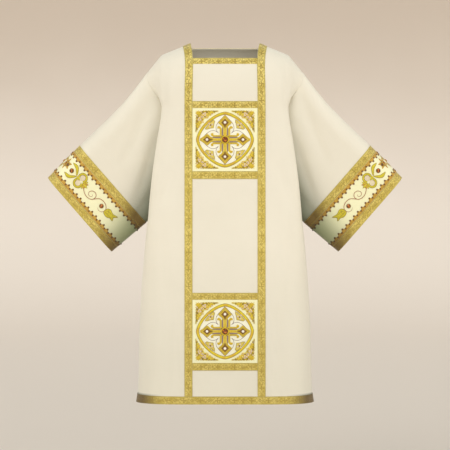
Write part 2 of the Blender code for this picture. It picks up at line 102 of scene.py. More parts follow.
# One material: constants go on the shader's own sockets, what varies is linked
class Finish:
    def __init__(self, name, constants):
        self.material = bpy.data.materials.new(name)
        self.material.use_nodes = True
        self.tree = self.material.node_tree
        self.shader = self.tree.nodes["Principled BSDF"]
        for socketName, value in constants.items():
            self.shader.inputs[socketName].default_value = value

    def node(self, kind, settings=None, sockets=None, out=0):
        made = self.tree.nodes.new(kind)
        for setting, value in (settings or {}).items():
            if setting == "stops":
                ramp = made.color_ramp
                while len(ramp.elements) < len(value):
                    ramp.elements.new(0.5)
                for element, (place, colour) in zip(ramp.elements, value):
                    element.position = place
                    element.color = (*colour, 1)
            else:
                setattr(made, setting, value)
        for key, value in (sockets or {}).items():
            if isinstance(value, Wire):
                self.tree.links.new(value.socket, made.inputs[key])
            else:
                made.inputs[key].default_value = value
        return Wire(self, made.outputs[out])

    # across and along the cut cloth, in metres
    def flat(self):
        place = self.node("ShaderNodeUVMap", {"uv_map": "flat"})
        across = self.node("ShaderNodeSeparateXYZ", None, {0: place}, 0)
        along = self.node("ShaderNodeSeparateXYZ", None, {0: place}, 1)
        return across, along

    # how much painted shade the mesh's shade attribute lays on the cloth, from 0 to 1
    def shade(self):
        return self.node("ShaderNodeAttribute", {"attribute_name": "shade"}, None, 2)

    def vector(self, x, y, z=0.0):
        return self.node("ShaderNodeCombineXYZ", None, {0: x, 1: y, 2: z})

    def noise(self, vector, scale, detail=2.0):
        return self.node("ShaderNodeTexNoise", None, {"Vector": vector, "Scale": scale, "Detail": detail})

    def mix(self, factor, first, second):
        ends = [end if isinstance(end, Wire) else (*end, 1) for end in (first, second)]
        sockets = {0: factor, 6: ends[0], 7: ends[1]}
        return self.node("ShaderNodeMix", {"data_type": "RGBA"}, sockets, 2)

    def paint(self, socketName, wire):
        self.tree.links.new(wire.socket, self.shader.inputs[socketName])

    def bump(self, height, distance, strength=1.0):
        sockets = {"Height": height, "Distance": distance, "Strength": strength}
        self.paint("Normal", self.node("ShaderNodeBump", None, sockets))


ivorySettings = {
    "colour": (0.868, 0.826, 0.706), "worn": (0.826, 0.786, 0.662), "shade": (0.150, 0.170, 0.115),
    "threadPitch": 0.0013, "roughness": 0.78, "sheen": 0.25,
}


def ivoryCloth():
    look = ivorySettings
    finish = Finish("ivoryCloth", {
        "Roughness": look["roughness"], "Sheen Weight": look["sheen"],
        "Sheen Roughness": 0.45, "Specular IOR Level": 0.25,
    })
    across, along = finish.flat()
    warp, weft = across.wave(look["threadPitch"]), along.wave(look["threadPitch"])
    weave = warp * weft
    slub = finish.noise(finish.vector(across * 6, along * 160), 4.0)
    cloud = finish.noise(finish.vector(across, along), 5.0, 3.0)
    worn = (weave * 0.10 + (slub - 0.5) * 0.7 + (cloud - 0.5) * 1.4 + 0.35).smaller(1.0).larger(0.0)
    cloth = finish.mix(worn, look["colour"], look["worn"])
    # painted shade: the shade attribute mixes the cloth towards grey-green
    finish.paint("Base Color", finish.mix(finish.shade(), cloth, look["shade"]))
    finish.bump(weave * 0.5 + slub * 0.6, 0.00025, 0.55)
    return finish.material


galloonSettings = {
    "width": 0.0275, "repeat": 0.058, "ribPitch": 0.0012, "beadPitch": 0.0049,
    "ground": (0.640, 0.490, 0.085), "light": (0.960, 0.810, 0.250), "dark": (0.260, 0.165, 0.022),
    "edge": (0.300, 0.280, 0.100), "shade": (0.150, 0.095, 0.018), "roughness": 0.46, "metallic": 0.25,
}


# Woven gold braid: small dark crosses and rosettes in turn, leaf sprays between, a beaded line at each edge
def goldGalloon():
    look = galloonSettings
    finish = Finish("goldGalloon", {"Metallic": look["metallic"], "Sheen Weight": 0.1})
    along, across = finish.flat()
    x = (along / look["repeat"] % 1.0 - 0.5) * (look["repeat"] * 1000)
    turned = ((along / look["repeat"] + 0.5) % 1.0 - 0.5) * (look["repeat"] * 1000)
    y = (across - look["width"] / 2) * 1000
    bar = (abs(x) / 1.5).larger(abs(y) / 7.6)
    beam = (abs(y) / 1.5).larger(abs(x) / 7.6)
    knobs = ((abs(x) - 6.2) ** 2 + y ** 2).smaller((abs(y) - 6.2) ** 2 + x ** 2) / 6.0
    cross = bar.smaller(beam).smaller(knobs).fall(0.8, 1.15)
    reach = (turned ** 2 + y ** 2) ** 0.5
    angle = finish.node("ShaderNodeMath", {"operation": "ARCTAN2"}, {0: y, 1: turned})
    petals = (angle * 6.0).math("COSINE") * 1.9 + 5.6
    rosette = (reach - petals).fall(-0.5, 0.5) * (1 - abs(reach - 2.4).fall(0.3, 0.8))
    spray = abs(abs(y) - 3.6 - along.wave(look["repeat"] / 4) * 2.4).fall(0.8, 1.5)
    clear = reach.rise(7.5, 9.0) * (x ** 2 + y ** 2).rise(80.0, 100.0)
    inside = abs(y).fall(8.6, 9.4)
    figure = cross.larger(rosette).larger(spray * clear) * inside
    beads = (along.wave(look["beadPitch"]) * 0.5 + 0.5) * abs(y).rise(8.8, 9.8) * abs(y).fall(12.2, 13.2)
    cord = abs(y).rise(12.4, 13.0)
    ribs = along.wave(look["ribPitch"])
    wear = finish.noise(finish.vector(along, across), 38.0, 3.0)
    fleck = finish.noise(finish.vector(along, across), 210.0, 2.0)
    ground = finish.mix(wear.rise(0.36, 0.62) * 0.85, look["light"], look["ground"])
    flecked = finish.mix(fleck.rise(0.50, 0.60) * 0.58, ground, look["dark"])
    figured = finish.mix(figure * 0.72, flecked, look["dark"])
    beaded = finish.mix(beads * 0.80, figured, look["edge"])
    edged = finish.mix(cord * 0.35, beaded, look["edge"])
    ribbed = finish.mix((ribs * 0.5 + 0.5) * 0.10, edged, look["dark"])
    # painted shade: below the shoulders the braid is mixed towards its darker ground colour, fully from half
    # a metre down
    place = finish.node("ShaderNodeTexCoord", None, None, 3)
    height = finish.node("ShaderNodeSeparateXYZ", None, {0: place}, 2)
    paintedShadeLow = finish.mix(height.fall(-0.50, -0.02) * 0.34, ribbed, look["ground"])
    # painted shade from the shade attribute, a quarter stronger on the braid
    finish.paint("Base Color", finish.mix(finish.shade() * 1.25, paintedShadeLow, look["shade"]))
    finish.paint("Roughness", look["roughness"] + wear * 0.12 - figure * 0.10)
    finish.bump(figure * 0.9 + cord + ribs * 0.22 - beads * 0.6, 0.00035, 0.8)
    return finish.material


satinSettings = {
    "colour": (0.975, 0.965, 0.640), "worn": (0.930, 0.905, 0.560), "shade": (0.130, 0.165, 0.075),
    "pitch": 0.0011,
}


def creamSatin(name="creamSatin", colour=satinSettings["colour"], worn=satinSettings["worn"]):
    finish = Finish(name, {"Roughness": 0.48, "Sheen Weight": 0.15, "Specular IOR Level": 0.4})
    across, along = finish.flat()
    twill = (across + along * 0.5).wave(satinSettings["pitch"])
    cloud = finish.noise(finish.vector(across, along), 22.0)
    cloth = finish.mix((twill * 0.12 + cloud * 0.6).larger(0.0), colour, worn)
    # painted shade: the shade attribute mixes the satin towards dark olive
    finish.paint("Base Color", finish.mix(finish.shade(), cloth, satinSettings["shade"]))
    finish.bump(twill * 0.5 + cloud, 0.0002, 0.4)
    return finish.material


# Satin stitch: threads side by side, across the shape's length
def threadWork(name, colour, shade, metallic=0.2, roughness=0.42, pitch=0.0010):
    finish = Finish(name, {"Metallic": metallic, "Sheen Weight": 0.1})
    along, across = finish.flat()
    strands = along.wave(pitch)
    tone = finish.noise(finish.vector(along, across * 0.3), 160.0)
    worn = (strands * 0.28 + (tone - 0.5) * 1.3 + 0.42).smaller(1.0).larger(0.0)
    thread = finish.mix(worn, colour, shade)
    # painted shade: the shade attribute darkens the thread
    finish.paint("Base Color", finish.mix(finish.shade(), thread, tuple(0.12 * value for value in colour)))
    finish.paint("Roughness", roughness + tone * 0.15)
    finish.bump(strands * 0.6 + tone, 0.00022, 0.7)
    return finish.material


def garnetGlass():
    finish = Finish("garnetGlass", {
        "Roughness": 0.10, "Coat Weight": 0.8, "Coat Roughness": 0.04, "Specular IOR Level": 0.7,
    })
    across, along = finish.flat()
    # painted glow: noise patches of orange in the dark red stand in for light shining through the stone
    depth = finish.noise(finish.vector(across, along), 130.0, 3.0)
    glow = finish.mix(depth.rise(0.42, 0.66), (0.110, 0.016, 0.004), (0.680, 0.210, 0.015))
    finish.paint("Base Color", glow)
    return finish.material


def pearlWhite():
    finish = Finish("pearlWhite", {"Roughness": 0.22, "Coat Weight": 0.5, "Sheen Weight": 0.2})
    across, along = finish.flat()
    lustre = finish.noise(finish.vector(across, along), 300.0)
    finish.paint("Base Color", finish.mix(lustre, (0.97, 0.95, 0.90), (0.90, 0.84, 0.78)))
    return finish.material


ivory = ivoryCloth()
galloon = goldGalloon()
satin = creamSatin()
white = creamSatin("whiteSatin", (0.985, 0.975, 0.800), (0.950, 0.925, 0.700))
threads = {
    "gold": threadWork("goldThread", (0.860, 0.650, 0.040), (0.620, 0.400, 0.018), 0.20),
    "paleGold": threadWork("paleGoldThread", (0.880, 0.740, 0.170), (0.680, 0.500, 0.060), 0.20),
    "ochre": threadWork("ochreThread", (0.480, 0.350, 0.035), (0.260, 0.165, 0.020), 0.15),
    "brown": threadWork("brownThread", (0.320, 0.170, 0.018), (0.140, 0.060, 0.010), 0.15),
    "mauve": threadWork("mauveThread", (0.330, 0.230, 0.250), (0.200, 0.135, 0.150), 0.05),
    "pink": threadWork("pinkGoldThread", (0.860, 0.720, 0.600), (0.700, 0.520, 0.400), 0.05),
    "orange": threadWork("orangeGoldThread", (0.700, 0.430, 0.065), (0.460, 0.255, 0.032), 0.20),
    "red": threadWork("redBrownThread", (0.470, 0.180, 0.060), (0.290, 0.095, 0.030), 0.05),
    "olive": threadWork("oliveThread", (0.400, 0.270, 0.035), (0.230, 0.150, 0.020), 0.15),
    "bead": threadWork("beadThread", (0.230, 0.085, 0.012), (0.120, 0.045, 0.008), 0.10),
    "paleRose": threadWork("paleRoseThread", (0.880, 0.790, 0.560), (0.780, 0.640, 0.440), 0.0),
    "bright": threadWork("brightGoldThread", (0.860, 0.680, 0.040), (0.640, 0.450, 0.030), 0.20),
    "leaf": threadWork("leafGoldThread", (0.800, 0.700, 0.035), (0.560, 0.460, 0.022), 0.15),
}


# Leaf work in long and short stitch, its gold and rose threads changing every few millimetres
def foliageWork():
    finish = Finish("foliageThread", {"Metallic": 0.15, "Sheen Weight": 0.1})
    along, across = finish.flat()
    place = finish.vector(along, across)
    patch, vein = finish.noise(place, 120.0, 2.0), finish.noise(place, 330.0, 2.0)
    gold = finish.mix(patch.rise(0.40, 0.50), (0.880, 0.700, 0.090), (0.680, 0.480, 0.035))
    rose = finish.mix(patch.rise(0.55, 0.62), gold, (0.840, 0.700, 0.560))
    worked = finish.mix(vein.rise(0.52, 0.64) * 0.65, rose, (0.440, 0.300, 0.035))
    finish.paint("Base Color", worked)
    finish.paint("Roughness", 0.45 + vein * 0.2)
    finish.bump(vein + patch, 0.0005, 0.8)
    return finish.material


# The ring's padded satin stitch, yellow and orange gold in turn
def ringWork():
    finish = Finish("ringThread", {"Metallic": 0.2, "Sheen Weight": 0.1})
    along, across = finish.flat()
    strands = along.wave(0.0011)
    turn = finish.noise(finish.vector(along, across * 0.2), 42.0, 1.0)
    tone = finish.noise(finish.vector(along, across * 0.4), 300.0)
    gold = finish.mix(turn.rise(0.42, 0.60), (0.860, 0.720, 0.030), (0.790, 0.530, 0.045))
    finish.paint("Base Color", finish.mix(strands * 0.10 + tone * 0.35, gold, (0.470, 0.270, 0.015)))
    finish.paint("Roughness", 0.40 + tone * 0.15)
    finish.bump(strands * 0.7 + tone, 0.00025, 0.7)
    return finish.material


ringGold = ringWork()
foliage = foliageWork()
garnet = garnetGlass()
pearl = pearlWhite()
print("finishes made:", len(bpy.data.materials))


# A smooth line through a table's points, with no overshoot between them
def easedCurve(xs, ys, x):
    xs, ys, x = (np.asarray(values, float) for values in (xs, ys, x))
    steps = np.diff(xs)
    slopes = np.diff(ys) / steps
    product = slopes[:-1] * slopes[1:]
    inner = np.where(product > 0, 2 * product / (slopes[:-1] + slopes[1:] + 1e-12), 0)
    tangents = np.concatenate([slopes[:1], inner, slopes[-1:]])
    i = np.clip(np.searchsorted(xs, x) - 1, 0, len(steps) - 1)
    t = (x - xs[i]) / steps[i]
    held = (1 + 2 * t) * (1 - t) ** 2 * ys[i] + t * t * (3 - 2 * t) * ys[i + 1]
    leaning = t * (1 - t) ** 2 * tangents[i] + t * t * (t - 1) * tangents[i + 1]
    return held + steps[i] * leaning


# The body, in metres from the middle of the shoulder seams; the front faces -Y
bodyCut = {
    "chestZ": -0.195, "underarmZ": -0.600, "hemZ": -1.241, "hemBraidZ": -1.2135,
    "chestY": {"front": 0.130, "back": 0.118},
    "hemY": {"front": 0.166, "back": 0.158},
    "roundness": 2.3,
    "innerX": 0.1115, "outerX": 0.139,
    "shoulderInnerX": 0.1204, "shoulderOuterX": 0.1472, "armholeTopX": 0.262, "neckBow": 0.0050,
    "thick": 0.0020, "gap": 0.0003,
    "domeShares": {"front": (0.0, 0.17, 0.34, 0.51, 0.60, 0.72, 0.86),
                   "back": (0.0, 0.13, 0.26, 0.37, 0.52, 0.68, 0.84)},
    "neckShares": {"front": 3, "back": 2},
    "middleCells": 16, "braidCells": 4, "sideCells": 28,
    "domeCells": 4, "rowStep": 0.0075,
}
barRows = {
    "upper": {"top": (-0.2013, -0.2255), "foot": (-0.4418, -0.4685)},
    "lower": {"top": (-0.8585, -0.8825), "foot": (-1.0988, -1.1247)},
}

# The widest point of a panel at each height, then its side seam or armhole
Section = namedtuple("Section", "z edgeX edgeY seamX seamY")
bodySections = (
    Section(-0.195, 0.2265, 0.066, 0.2230, 0.042),
    Section(-0.220, 0.2195, 0.070, 0.2120, 0.044),
    Section(-0.260, 0.2230, 0.072, 0.2140, 0.044),
    Section(-0.330, 0.2345, 0.074, 0.2230, 0.043),
    Section(-0.410, 0.2465, 0.076, 0.2330, 0.040),
    Section(-0.500, 0.2575, 0.076, 0.2410, 0.030),
    Section(-0.570, 0.2640, 0.070, 0.2440, 0.022),
    Section(-0.600, 0.2665, 0.065, 0.2450, 0.000),
    Section(-0.660, 0.2740, 0.055, 0.2610, 0.000),
    Section(-0.740, 0.2820, 0.032, 0.2795, 0.000),
    Section(-0.840, 0.2910, 0.006, 0.2910, 0.000),
    Section(-1.000, 0.2995, 0.002, 0.2995, 0.000),
    Section(-1.200, 0.3045, 0.002, 0.3045, 0.000),
    Section(-1.241, 0.3100, 0.002, 0.3100, 0.000),
)

# The top outline, over the shoulder and down the arm
TopPoint = namedtuple("TopPoint", "x z")
topLine = (
    TopPoint(0.0000, 0.0050), TopPoint(0.1204, 0.0045), TopPoint(0.1470, -0.0068),
    TopPoint(0.1880, -0.0228), TopPoint(0.2230, -0.0372), TopPoint(0.2510, -0.0735),
    TopPoint(0.3100, -0.1505), TopPoint(0.3570, -0.2065), TopPoint(0.4125, -0.2620),
    TopPoint(0.5068, -0.3520), TopPoint(0.6180, -0.4645),
)
topRounding = 0.006

# Large troughs of the skirt: their place from braid to side seam, and where they start
Trough = namedtuple("Trough", "side hand share startZ depth halfWidth")
skirtTroughs = (
    Trough("front", -1, 0.62, -0.62, 0.0060, 0.22),
    Trough("front", 1, 0.70, -0.70, 0.0045, 0.20),
    Trough("back", -1, 0.30, -0.45, 0.0060, 0.24),
    Trough("back", -1, 0.78, -0.66, 0.0070, 0.20),
    Trough("back", 1, 0.38, -0.52, 0.0070, 0.24),
    Trough("back", 1, 0.82, -0.62, 0.0055, 0.20),
)

cut = bodyCut
halfColumns = np.concatenate([
    np.linspace(0, 2, cut["middleCells"] + 1),
    np.linspace(2, 3, cut["braidCells"] + 1)[1:],
    np.linspace(3, 10, cut["sideCells"] + 1)[1:],
])
middleColumn = len(halfColumns) - 1
braidIn, braidOut = cut["middleCells"], cut["middleCells"] + cut["braidCells"]


def cutFinely(values, step):
    rows = [np.linspace(a, b, max(1, round(abs(b - a) / step)), endpoint=False)
            for a, b in zip(values, values[1:])]
    return np.concatenate([*rows, values[-1:]])


bodyZ = cutFinely([
    cut["chestZ"], *barRows["upper"]["top"], *barRows["upper"]["foot"], cut["underarmZ"],
    *barRows["lower"]["top"], *barRows["lower"]["foot"], cut["hemBraidZ"], cut["hemZ"],
], cut["rowStep"])
domeRows = len(cut["domeShares"]["front"]) * cut["domeCells"]


def rowAt(z):
    return domeRows + int(np.argmin(abs(bodyZ - z)))


underarmRow = rowAt(cut["underarmZ"])
hemRow = rowAt(cut["hemBraidZ"])


def sectionAt(z):
    depth = [-row.z for row in bodySections]
    return [float(easedCurve(depth, [row[n] for row in bodySections], -z)) for n in range(1, 5)]


def topZ(x):
    spots = np.asarray(x)[..., None] + topRounding * np.array([-1.0, -0.5, 0.0, 0.5, 1.0])
    return np.interp(spots, [p.x for p in topLine], [p.z for p in topLine]).mean(axis=-1)


def panelDepth(side, z):
    share = (cut["chestZ"] - z) / (cut["chestZ"] - cut["hemZ"])
    return cut["chestY"][side] + (cut["hemY"][side] - cut["chestY"][side]) * share


def troughDepth(side, hand, share, z):
    drawn = np.zeros_like(share)
    for trough in skirtTroughs:
        if trough.side == side and trough.hand == hand and z <= trough.startZ:
            down = (trough.startZ - z) / (trough.startZ - cut["hemZ"])
            across = (share - trough.share) / trough.halfWidth
            drawn += trough.depth * math.sin(0.5 * math.pi * down) * np.exp(-across * across)
    return drawn


# One level section from the middle to the side seam or the armhole
def halfSection(side, hand, z):
    edgeX, edgeY, seamX, seamY = sectionAt(z)
    depth = panelDepth(side, z)
    turn = np.radians(np.linspace(0, 90, 90))
    power = 2 / cut["roundness"]
    x = cut["innerX"] + (edgeX - cut["innerX"]) * np.sin(turn) ** power
    y = edgeY + (depth - edgeY) * np.clip(np.cos(turn), 0, 1) ** power
    hook = np.radians(np.linspace(0, 70, 30))[1:]
    hookX = edgeX - (edgeX - seamX) * (1 - np.cos(hook)) / (1 - math.cos(hook[-1]))
    hookY = edgeY - (edgeY - seamY) * np.sin(hook) / math.sin(hook[-1])
    outerY = float(np.interp(cut["outerX"], x, y))
    curve = np.column_stack([np.concatenate([x, hookX]), np.concatenate([y, hookY])])
    rest = np.vstack([[cut["outerX"], outerY], curve[curve[:, 1] < outerY]])
    along = np.concatenate([[0], np.cumsum(np.linalg.norm(np.diff(rest, axis=0), axis=1))])
    share = np.clip((halfColumns - 3) / 7, 0, 1)
    flatX = np.interp(halfColumns, [0, 2, 3], [0, cut["innerX"], cut["outerX"]])
    onSide = halfColumns > 3
    pointX = np.where(onSide, np.interp(share * along[-1], along, rest[:, 0]), flatX)
    pointY = np.where(onSide, np.interp(share * along[-1], along, rest[:, 1]), np.interp(flatX, x, y))
    pointY -= troughDepth(side, hand, share, z) * np.minimum(1, 4 * share) * np.minimum(1, 6 * (1 - share))
    sign = -1 if side == "front" else 1
    return np.column_stack([hand * pointX, sign * pointY, np.full_like(pointX, z)])


# Curves over the shoulder, from its seam (0) to the chest (1)
def domeRow(side, hand, share):
    low = halfSection(side, hand, cut["chestZ"])
    outwards = np.clip((halfColumns - 3) / 7, 0, 1)
    places = [0, 2, 3, 10]
    seamPlaces = [0, cut["shoulderInnerX"], cut["shoulderOuterX"], cut["armholeTopX"]]
    seamX = np.interp(halfColumns, places, seamPlaces)
    high = np.column_stack([hand * seamX, np.zeros_like(seamX), topZ(seamX)])
    drop = high[:, 2] - low[:, 2]
    forward = np.column_stack([0.02 * hand * outwards**4, 0.70 * low[:, 1], -0.10 * drop * outwards])
    upward = np.column_stack([0.05 * hand * outwards**6, 0 * drop, (0.60 - 0.12 * outwards) * drop])
    a, b = 1 - share, share
    points = a**3 * high + 3 * a * a * b * (high + forward) + 3 * a * b * b * (low + upward) + b**3 * low
    inwards = cut["neckBow"] * np.minimum(1, halfColumns / 2) * (1 - outwards) ** 2
    points[:, 0] -= hand * inwards * math.sin(math.pi * b) ** 2
    return points


class Skin:
    def __init__(self, points, outwards, closed=False):
        self.points = points
        self.outwards = outwards
        self.closed = closed
        rows, columns = points.shape[:2]
        self.cells = np.ones((rows - 1, columns if closed else columns - 1), bool)
        self.lift = np.zeros_like(points)

    # the four corners of every cell, round in order
    def corners(self, values):
        if self.closed:
            values = np.concatenate([values, values[:, :1]], axis=1)
        return values[:-1, :-1], values[:-1, 1:], values[1:, 1:], values[1:, :-1]

    def cellNormals(self):
        a, b, c, d = self.corners(self.points)
        return np.cross(c - a, d - b) * (0.5 * self.outwards) * self.cells[..., None]

    def area(self):
        return float(np.linalg.norm(self.cellNormals(), axis=-1).sum())

    # lengths of the rows and of the columns
    def lengths(self):
        points = np.concatenate([self.points, self.points[:, :1]], axis=1) if self.closed else self.points
        across = np.linalg.norm(np.diff(points, axis=1), axis=-1)
        along = np.linalg.norm(np.diff(self.points, axis=0), axis=-1)
        return across, along

    # part of the skin, with its open edges drawn in so that neighbours stay apart
    def part(self, rows=slice(None), columns=slice(None)):
        wholeRing = self.closed and columns == slice(None)
        made = Skin(self.points[rows, columns].copy(), self.outwards, wholeRing)
        made.lift = self.lift[rows, columns].copy()
        turns = [lambda values: values]
        if not wholeRing:
            turns.append(lambda values: values.swapaxes(0, 1))
        for turn in turns:
            for edge, inwards in ((0, 1), (-1, -2)):
                step = turn(made.points)[inwards] - turn(made.points)[edge]
                share = cut["gap"] / 2 / np.maximum(np.linalg.norm(step, axis=-1, keepdims=True), 1e-6)
                for values in (turn(made.points), turn(made.lift)):
                    values[edge] += (values[inwards] - values[edge]) * share
        return made


# Each point's way out, the same on both sides of a seam
def shareNormals(skins):
    points = np.vstack([skin.points.reshape(-1, 3) for skin in skins])
    places, index = np.unique(np.round(points, 6) + 0.0, axis=0, return_inverse=True)
    index = index.reshape(-1)
    total = np.zeros((len(places), 3))
    start = 0
    for skin in skins:
        count = skin.points.shape[0] * skin.points.shape[1]
        grid = index[start:start + count].reshape(skin.points.shape[:2])
        for corner in skin.corners(grid):
            np.add.at(total, corner, skin.cellNormals())
        start += count
    total /= np.maximum(np.linalg.norm(total, axis=1, keepdims=True), 1e-12)
    start = 0
    for skin in skins:
        count = skin.points.shape[0] * skin.points.shape[1]
        skin.lift = total[index[start:start + count]].reshape(skin.points.shape)
        start += count


def bodySkin(side):
    shares = [*cut["domeShares"][side], 1.0]
    fine = [np.linspace(a, b, cut["domeCells"], endpoint=False) for a, b in zip(shares, shares[1:])]
    rows = [(domeRow(side, -1, share), domeRow(side, 1, share)) for share in np.concatenate(fine)]
    rows += [(halfSection(side, -1, z), halfSection(side, 1, z)) for z in bodyZ]
    points = np.array([np.vstack([right[::-1], left[1:]]) for right, left in rows])
    skin = Skin(points, -1 if side == "front" else 1)
    neckRow = cut["neckShares"][side] * cut["domeCells"]
    skin.cells[:neckRow, middleColumn - braidIn:middleColumn + braidIn] = False
    return skin


sleeveCut = {
    "startTop": (0.5068, -0.3520), "startLow": (0.2760, -0.6200),
    "endTop": (0.6180, -0.4645), "endLow": (0.3976, -0.7220),
    "cuffDepth": 0.160, "braidWidth": 0.028,
    "topY": 0.070, "lowY": 0.030, "topTurn": 0.17, "lowTurn": 0.16,
    "armCells": 46, "braidCells": 4, "bandCells": 14,
}
cuffPlaces = np.concatenate([
    np.linspace(0, sleeveCut["braidWidth"], sleeveCut["braidCells"] + 1),
    np.linspace(sleeveCut["braidWidth"], sleeveCut["cuffDepth"] - sleeveCut["braidWidth"],
                sleeveCut["bandCells"] + 1)[1:],
    np.linspace(sleeveCut["cuffDepth"] - sleeveCut["braidWidth"], sleeveCut["cuffDepth"],
                sleeveCut["braidCells"] + 1)[1:],
])
cuffRow = sleeveCut["armCells"]


def sleeveHalfDepth(down):
    depth = sleeveCut["topY"] + (sleeveCut["lowY"] - sleeveCut["topY"]) * down
    over = 1 - (1 - np.minimum(down / sleeveCut["topTurn"], 1)) ** 2
    under = 1 - (1 - np.minimum((1 - down) / sleeveCut["lowTurn"], 1)) ** 2
    return depth * np.sqrt(np.maximum(over * under, 0))


# Rings from the armhole to the cuff's edge: down the front, then up the back
def sleeveSkin(front, back, hand):
    column = -1 if hand > 0 else 0
    branch = front.points[:underarmRow + 1, column]
    armhole = np.vstack([branch, back.points[underarmRow - 1:0:-1, column]])
    along = np.concatenate([[0], np.cumsum(np.linalg.norm(np.diff(branch, axis=0), axis=1))])
    down = along / along[-1]
    down = np.concatenate([down, down[-2:0:-1]])
    depth = np.where(np.arange(len(down)) <= underarmRow, -1, 1) * sleeveHalfDepth(down)

    def ring(top, low):
        flat = np.array(top) + (np.array(low) - top) * down[:, None]
        return np.column_stack([hand * flat[:, 0], depth, flat[:, 1]])

    start = ring(sleeveCut["startTop"], sleeveCut["startLow"])
    end = ring(sleeveCut["endTop"], sleeveCut["endLow"])
    rows = []
    for s in np.arange(sleeveCut["armCells"]) / sleeveCut["armCells"]:
        row = armhole + (start - armhole) * s
        row[:, 1] = armhole[:, 1] + (start[:, 1] - armhole[:, 1]) * (1 - (1 - s) ** 3)
        outline = topZ(cut["armholeTopX"] + (sleeveCut["startTop"][0] - cut["armholeTopX"]) * s)
        row[:, 2] += (outline - row[0, 2]) * (1 - down) ** 2 * (1 if s else 0)
        rows.append(row)
    rows += [start + (end - start) * place / sleeveCut["cuffDepth"] for place in cuffPlaces]
    return Skin(np.array(rows), 1 if hand > 0 else -1, closed=True)


# Soft creases, each a bent line in the front view: depth is below 0 for a ridge
Crease = namedtuple("Crease", "side start bend end depth width")
creases = (
    Crease("front", (0.205, -0.070), (0.222, -0.130), (0.214, -0.215), 0.0035, 0.011),
    Crease("front", (-0.206, -0.080), (-0.216, -0.150), (-0.206, -0.260), 0.0022, 0.014),
    Crease("front", (0.235, -0.560), (0.205, -0.500), (0.185, -0.400), 0.0030, 0.020),
    Crease("front", (-0.238, -0.570), (-0.212, -0.520), (-0.186, -0.430), 0.0030, 0.020),
    Crease("front", (0.232, -0.640), (0.212, -0.800), (0.222, -1.010), 0.0032, 0.024),
    Crease("front", (-0.226, -0.620), (-0.206, -0.760), (-0.200, -0.960), 0.0032, 0.022),
    Crease("front", (0.180, -0.930), (0.186, -1.080), (0.190, -1.260), 0.0040, 0.020),
    Crease("front", (-0.178, -0.860), (-0.180, -1.050), (-0.188, -1.260), 0.0034, 0.024),
    Crease("front", (0.252, -0.950), (0.258, -1.100), (0.262, -1.260), -0.0030, 0.020),
    Crease("front", (-0.246, -1.000), (-0.250, -1.120), (-0.256, -1.260), -0.0030, 0.022),
    Crease("front", (0.262, -0.170), (0.300, -0.300), (0.372, -0.440), 0.0040, 0.020),
    Crease("front", (-0.258, -0.190), (-0.300, -0.310), (-0.360, -0.430), 0.0040, 0.022),
    Crease("front", (0.245, -0.330), (0.268, -0.440), (0.318, -0.560), 0.0065, 0.018),
    Crease("front", (-0.242, -0.320), (-0.270, -0.450), (-0.320, -0.570), 0.0065, 0.019),
    Crease("front", (0.285, -0.160), (0.345, -0.260), (0.430, -0.360), -0.0030, 0.024),
    Crease("front", (-0.290, -0.170), (-0.350, -0.270), (-0.425, -0.350), -0.0030, 0.024),
    Crease("front", (0.262, -0.520), (0.290, -0.580), (0.345, -0.640), 0.0040, 0.016),
    Crease("front", (-0.260, -0.510), (-0.290, -0.580), (-0.350, -0.650), 0.0040, 0.015),
    Crease("back", (0.120, -0.070), (0.150, -0.200), (0.205, -0.330), 0.0040, 0.026),
    Crease("back", (-0.100, -0.090), (-0.140, -0.220), (-0.200, -0.340), 0.0040, 0.028),
    Crease("back", (0.060, -0.160), (0.050, -0.420), (0.066, -0.720), 0.0034, 0.030),
    Crease("back", (-0.052, -0.240), (-0.060, -0.520), (-0.050, -0.900), 0.0036, 0.032),
    Crease("back", (0.020, -0.700), (0.010, -0.950), (0.016, -1.260), 0.0050, 0.034),
    Crease("back", (-0.090, -0.840), (-0.084, -1.060), (-0.092, -1.260), -0.0040, 0.026),
    Crease("back", (0.190, -0.560), (0.206, -0.860), (0.216, -1.260), 0.0050, 0.028),
    Crease("back", (-0.205, -0.600), (-0.196, -0.860), (-0.204, -1.260), 0.0050, 0.026),
    Crease("back", (0.258, -0.180), (0.300, -0.310), (0.380, -0.450), 0.0045, 0.022),
    Crease("back", (-0.262, -0.200), (-0.306, -0.330), (-0.372, -0.440), 0.0045, 0.021),
    Crease("back", (0.242, -0.340), (0.270, -0.450), (0.326, -0.580), 0.0055, 0.019),
    Crease("back", (-0.244, -0.350), (-0.268, -0.460), (-0.330, -0.590), 0.0055, 0.018),
)
creaseFade = {"plainX": 0.142, "fadeX": 0.175, "front": 1.6, "back": 2.0}
seamDip = {"depth": 0.0014, "width": 0.0045}
hemDroop = {"depth": 0.006, "fromZ": -0.95, "edgeX": 0.31}


def creaseDepth(x, z, side):
    drawn = np.zeros_like(x)
    for crease in creases:
        if crease.side != side:
            continue
        share = np.linspace(0, 1, 25)[:, None]
        ends = [np.array(getattr(crease, name)) for name in ("start", "bend", "end")]
        line = (1 - share) ** 2 * ends[0] + 2 * share * (1 - share) * ends[1] + share**2 * ends[2]
        near = (x[..., None] - line[:, 0]) ** 2 + (z[..., None] - line[:, 1]) ** 2
        nearest = near.argmin(axis=-1)
        fade = np.sin(np.pi * np.clip(0.06 + 0.94 * nearest / (len(share) - 1), 0, 1)) ** 0.7
        drawn += crease.depth * fade * np.exp(-near.min(axis=-1) / crease.width**2)
    return drawn


def creaseSkin(skin, sides, seamDistance):
    x, z = skin.points[..., 0], skin.points[..., 2]
    facing = abs(skin.lift[..., 1])
    drawn = np.zeros_like(x)
    for side, columns in sides:
        drawn[:, columns] = creaseDepth(x[:, columns], z[:, columns], side)
    if sides[0][0] == "front" and len(sides) == 1:
        fadeWidth = creaseFade["fadeX"] - creaseFade["plainX"]
        beside = np.clip((abs(x) - creaseFade["plainX"]) / fadeWidth, 0, 1)
        drawn *= beside * beside * (3 - 2 * beside)
    dip = seamDip["depth"] * np.exp(-(seamDistance / seamDip["width"]) ** 2)
    drawn = drawn * creaseFade[sides[0][0]] * facing + dip
    skin.points = skin.points - skin.lift * drawn[..., None]


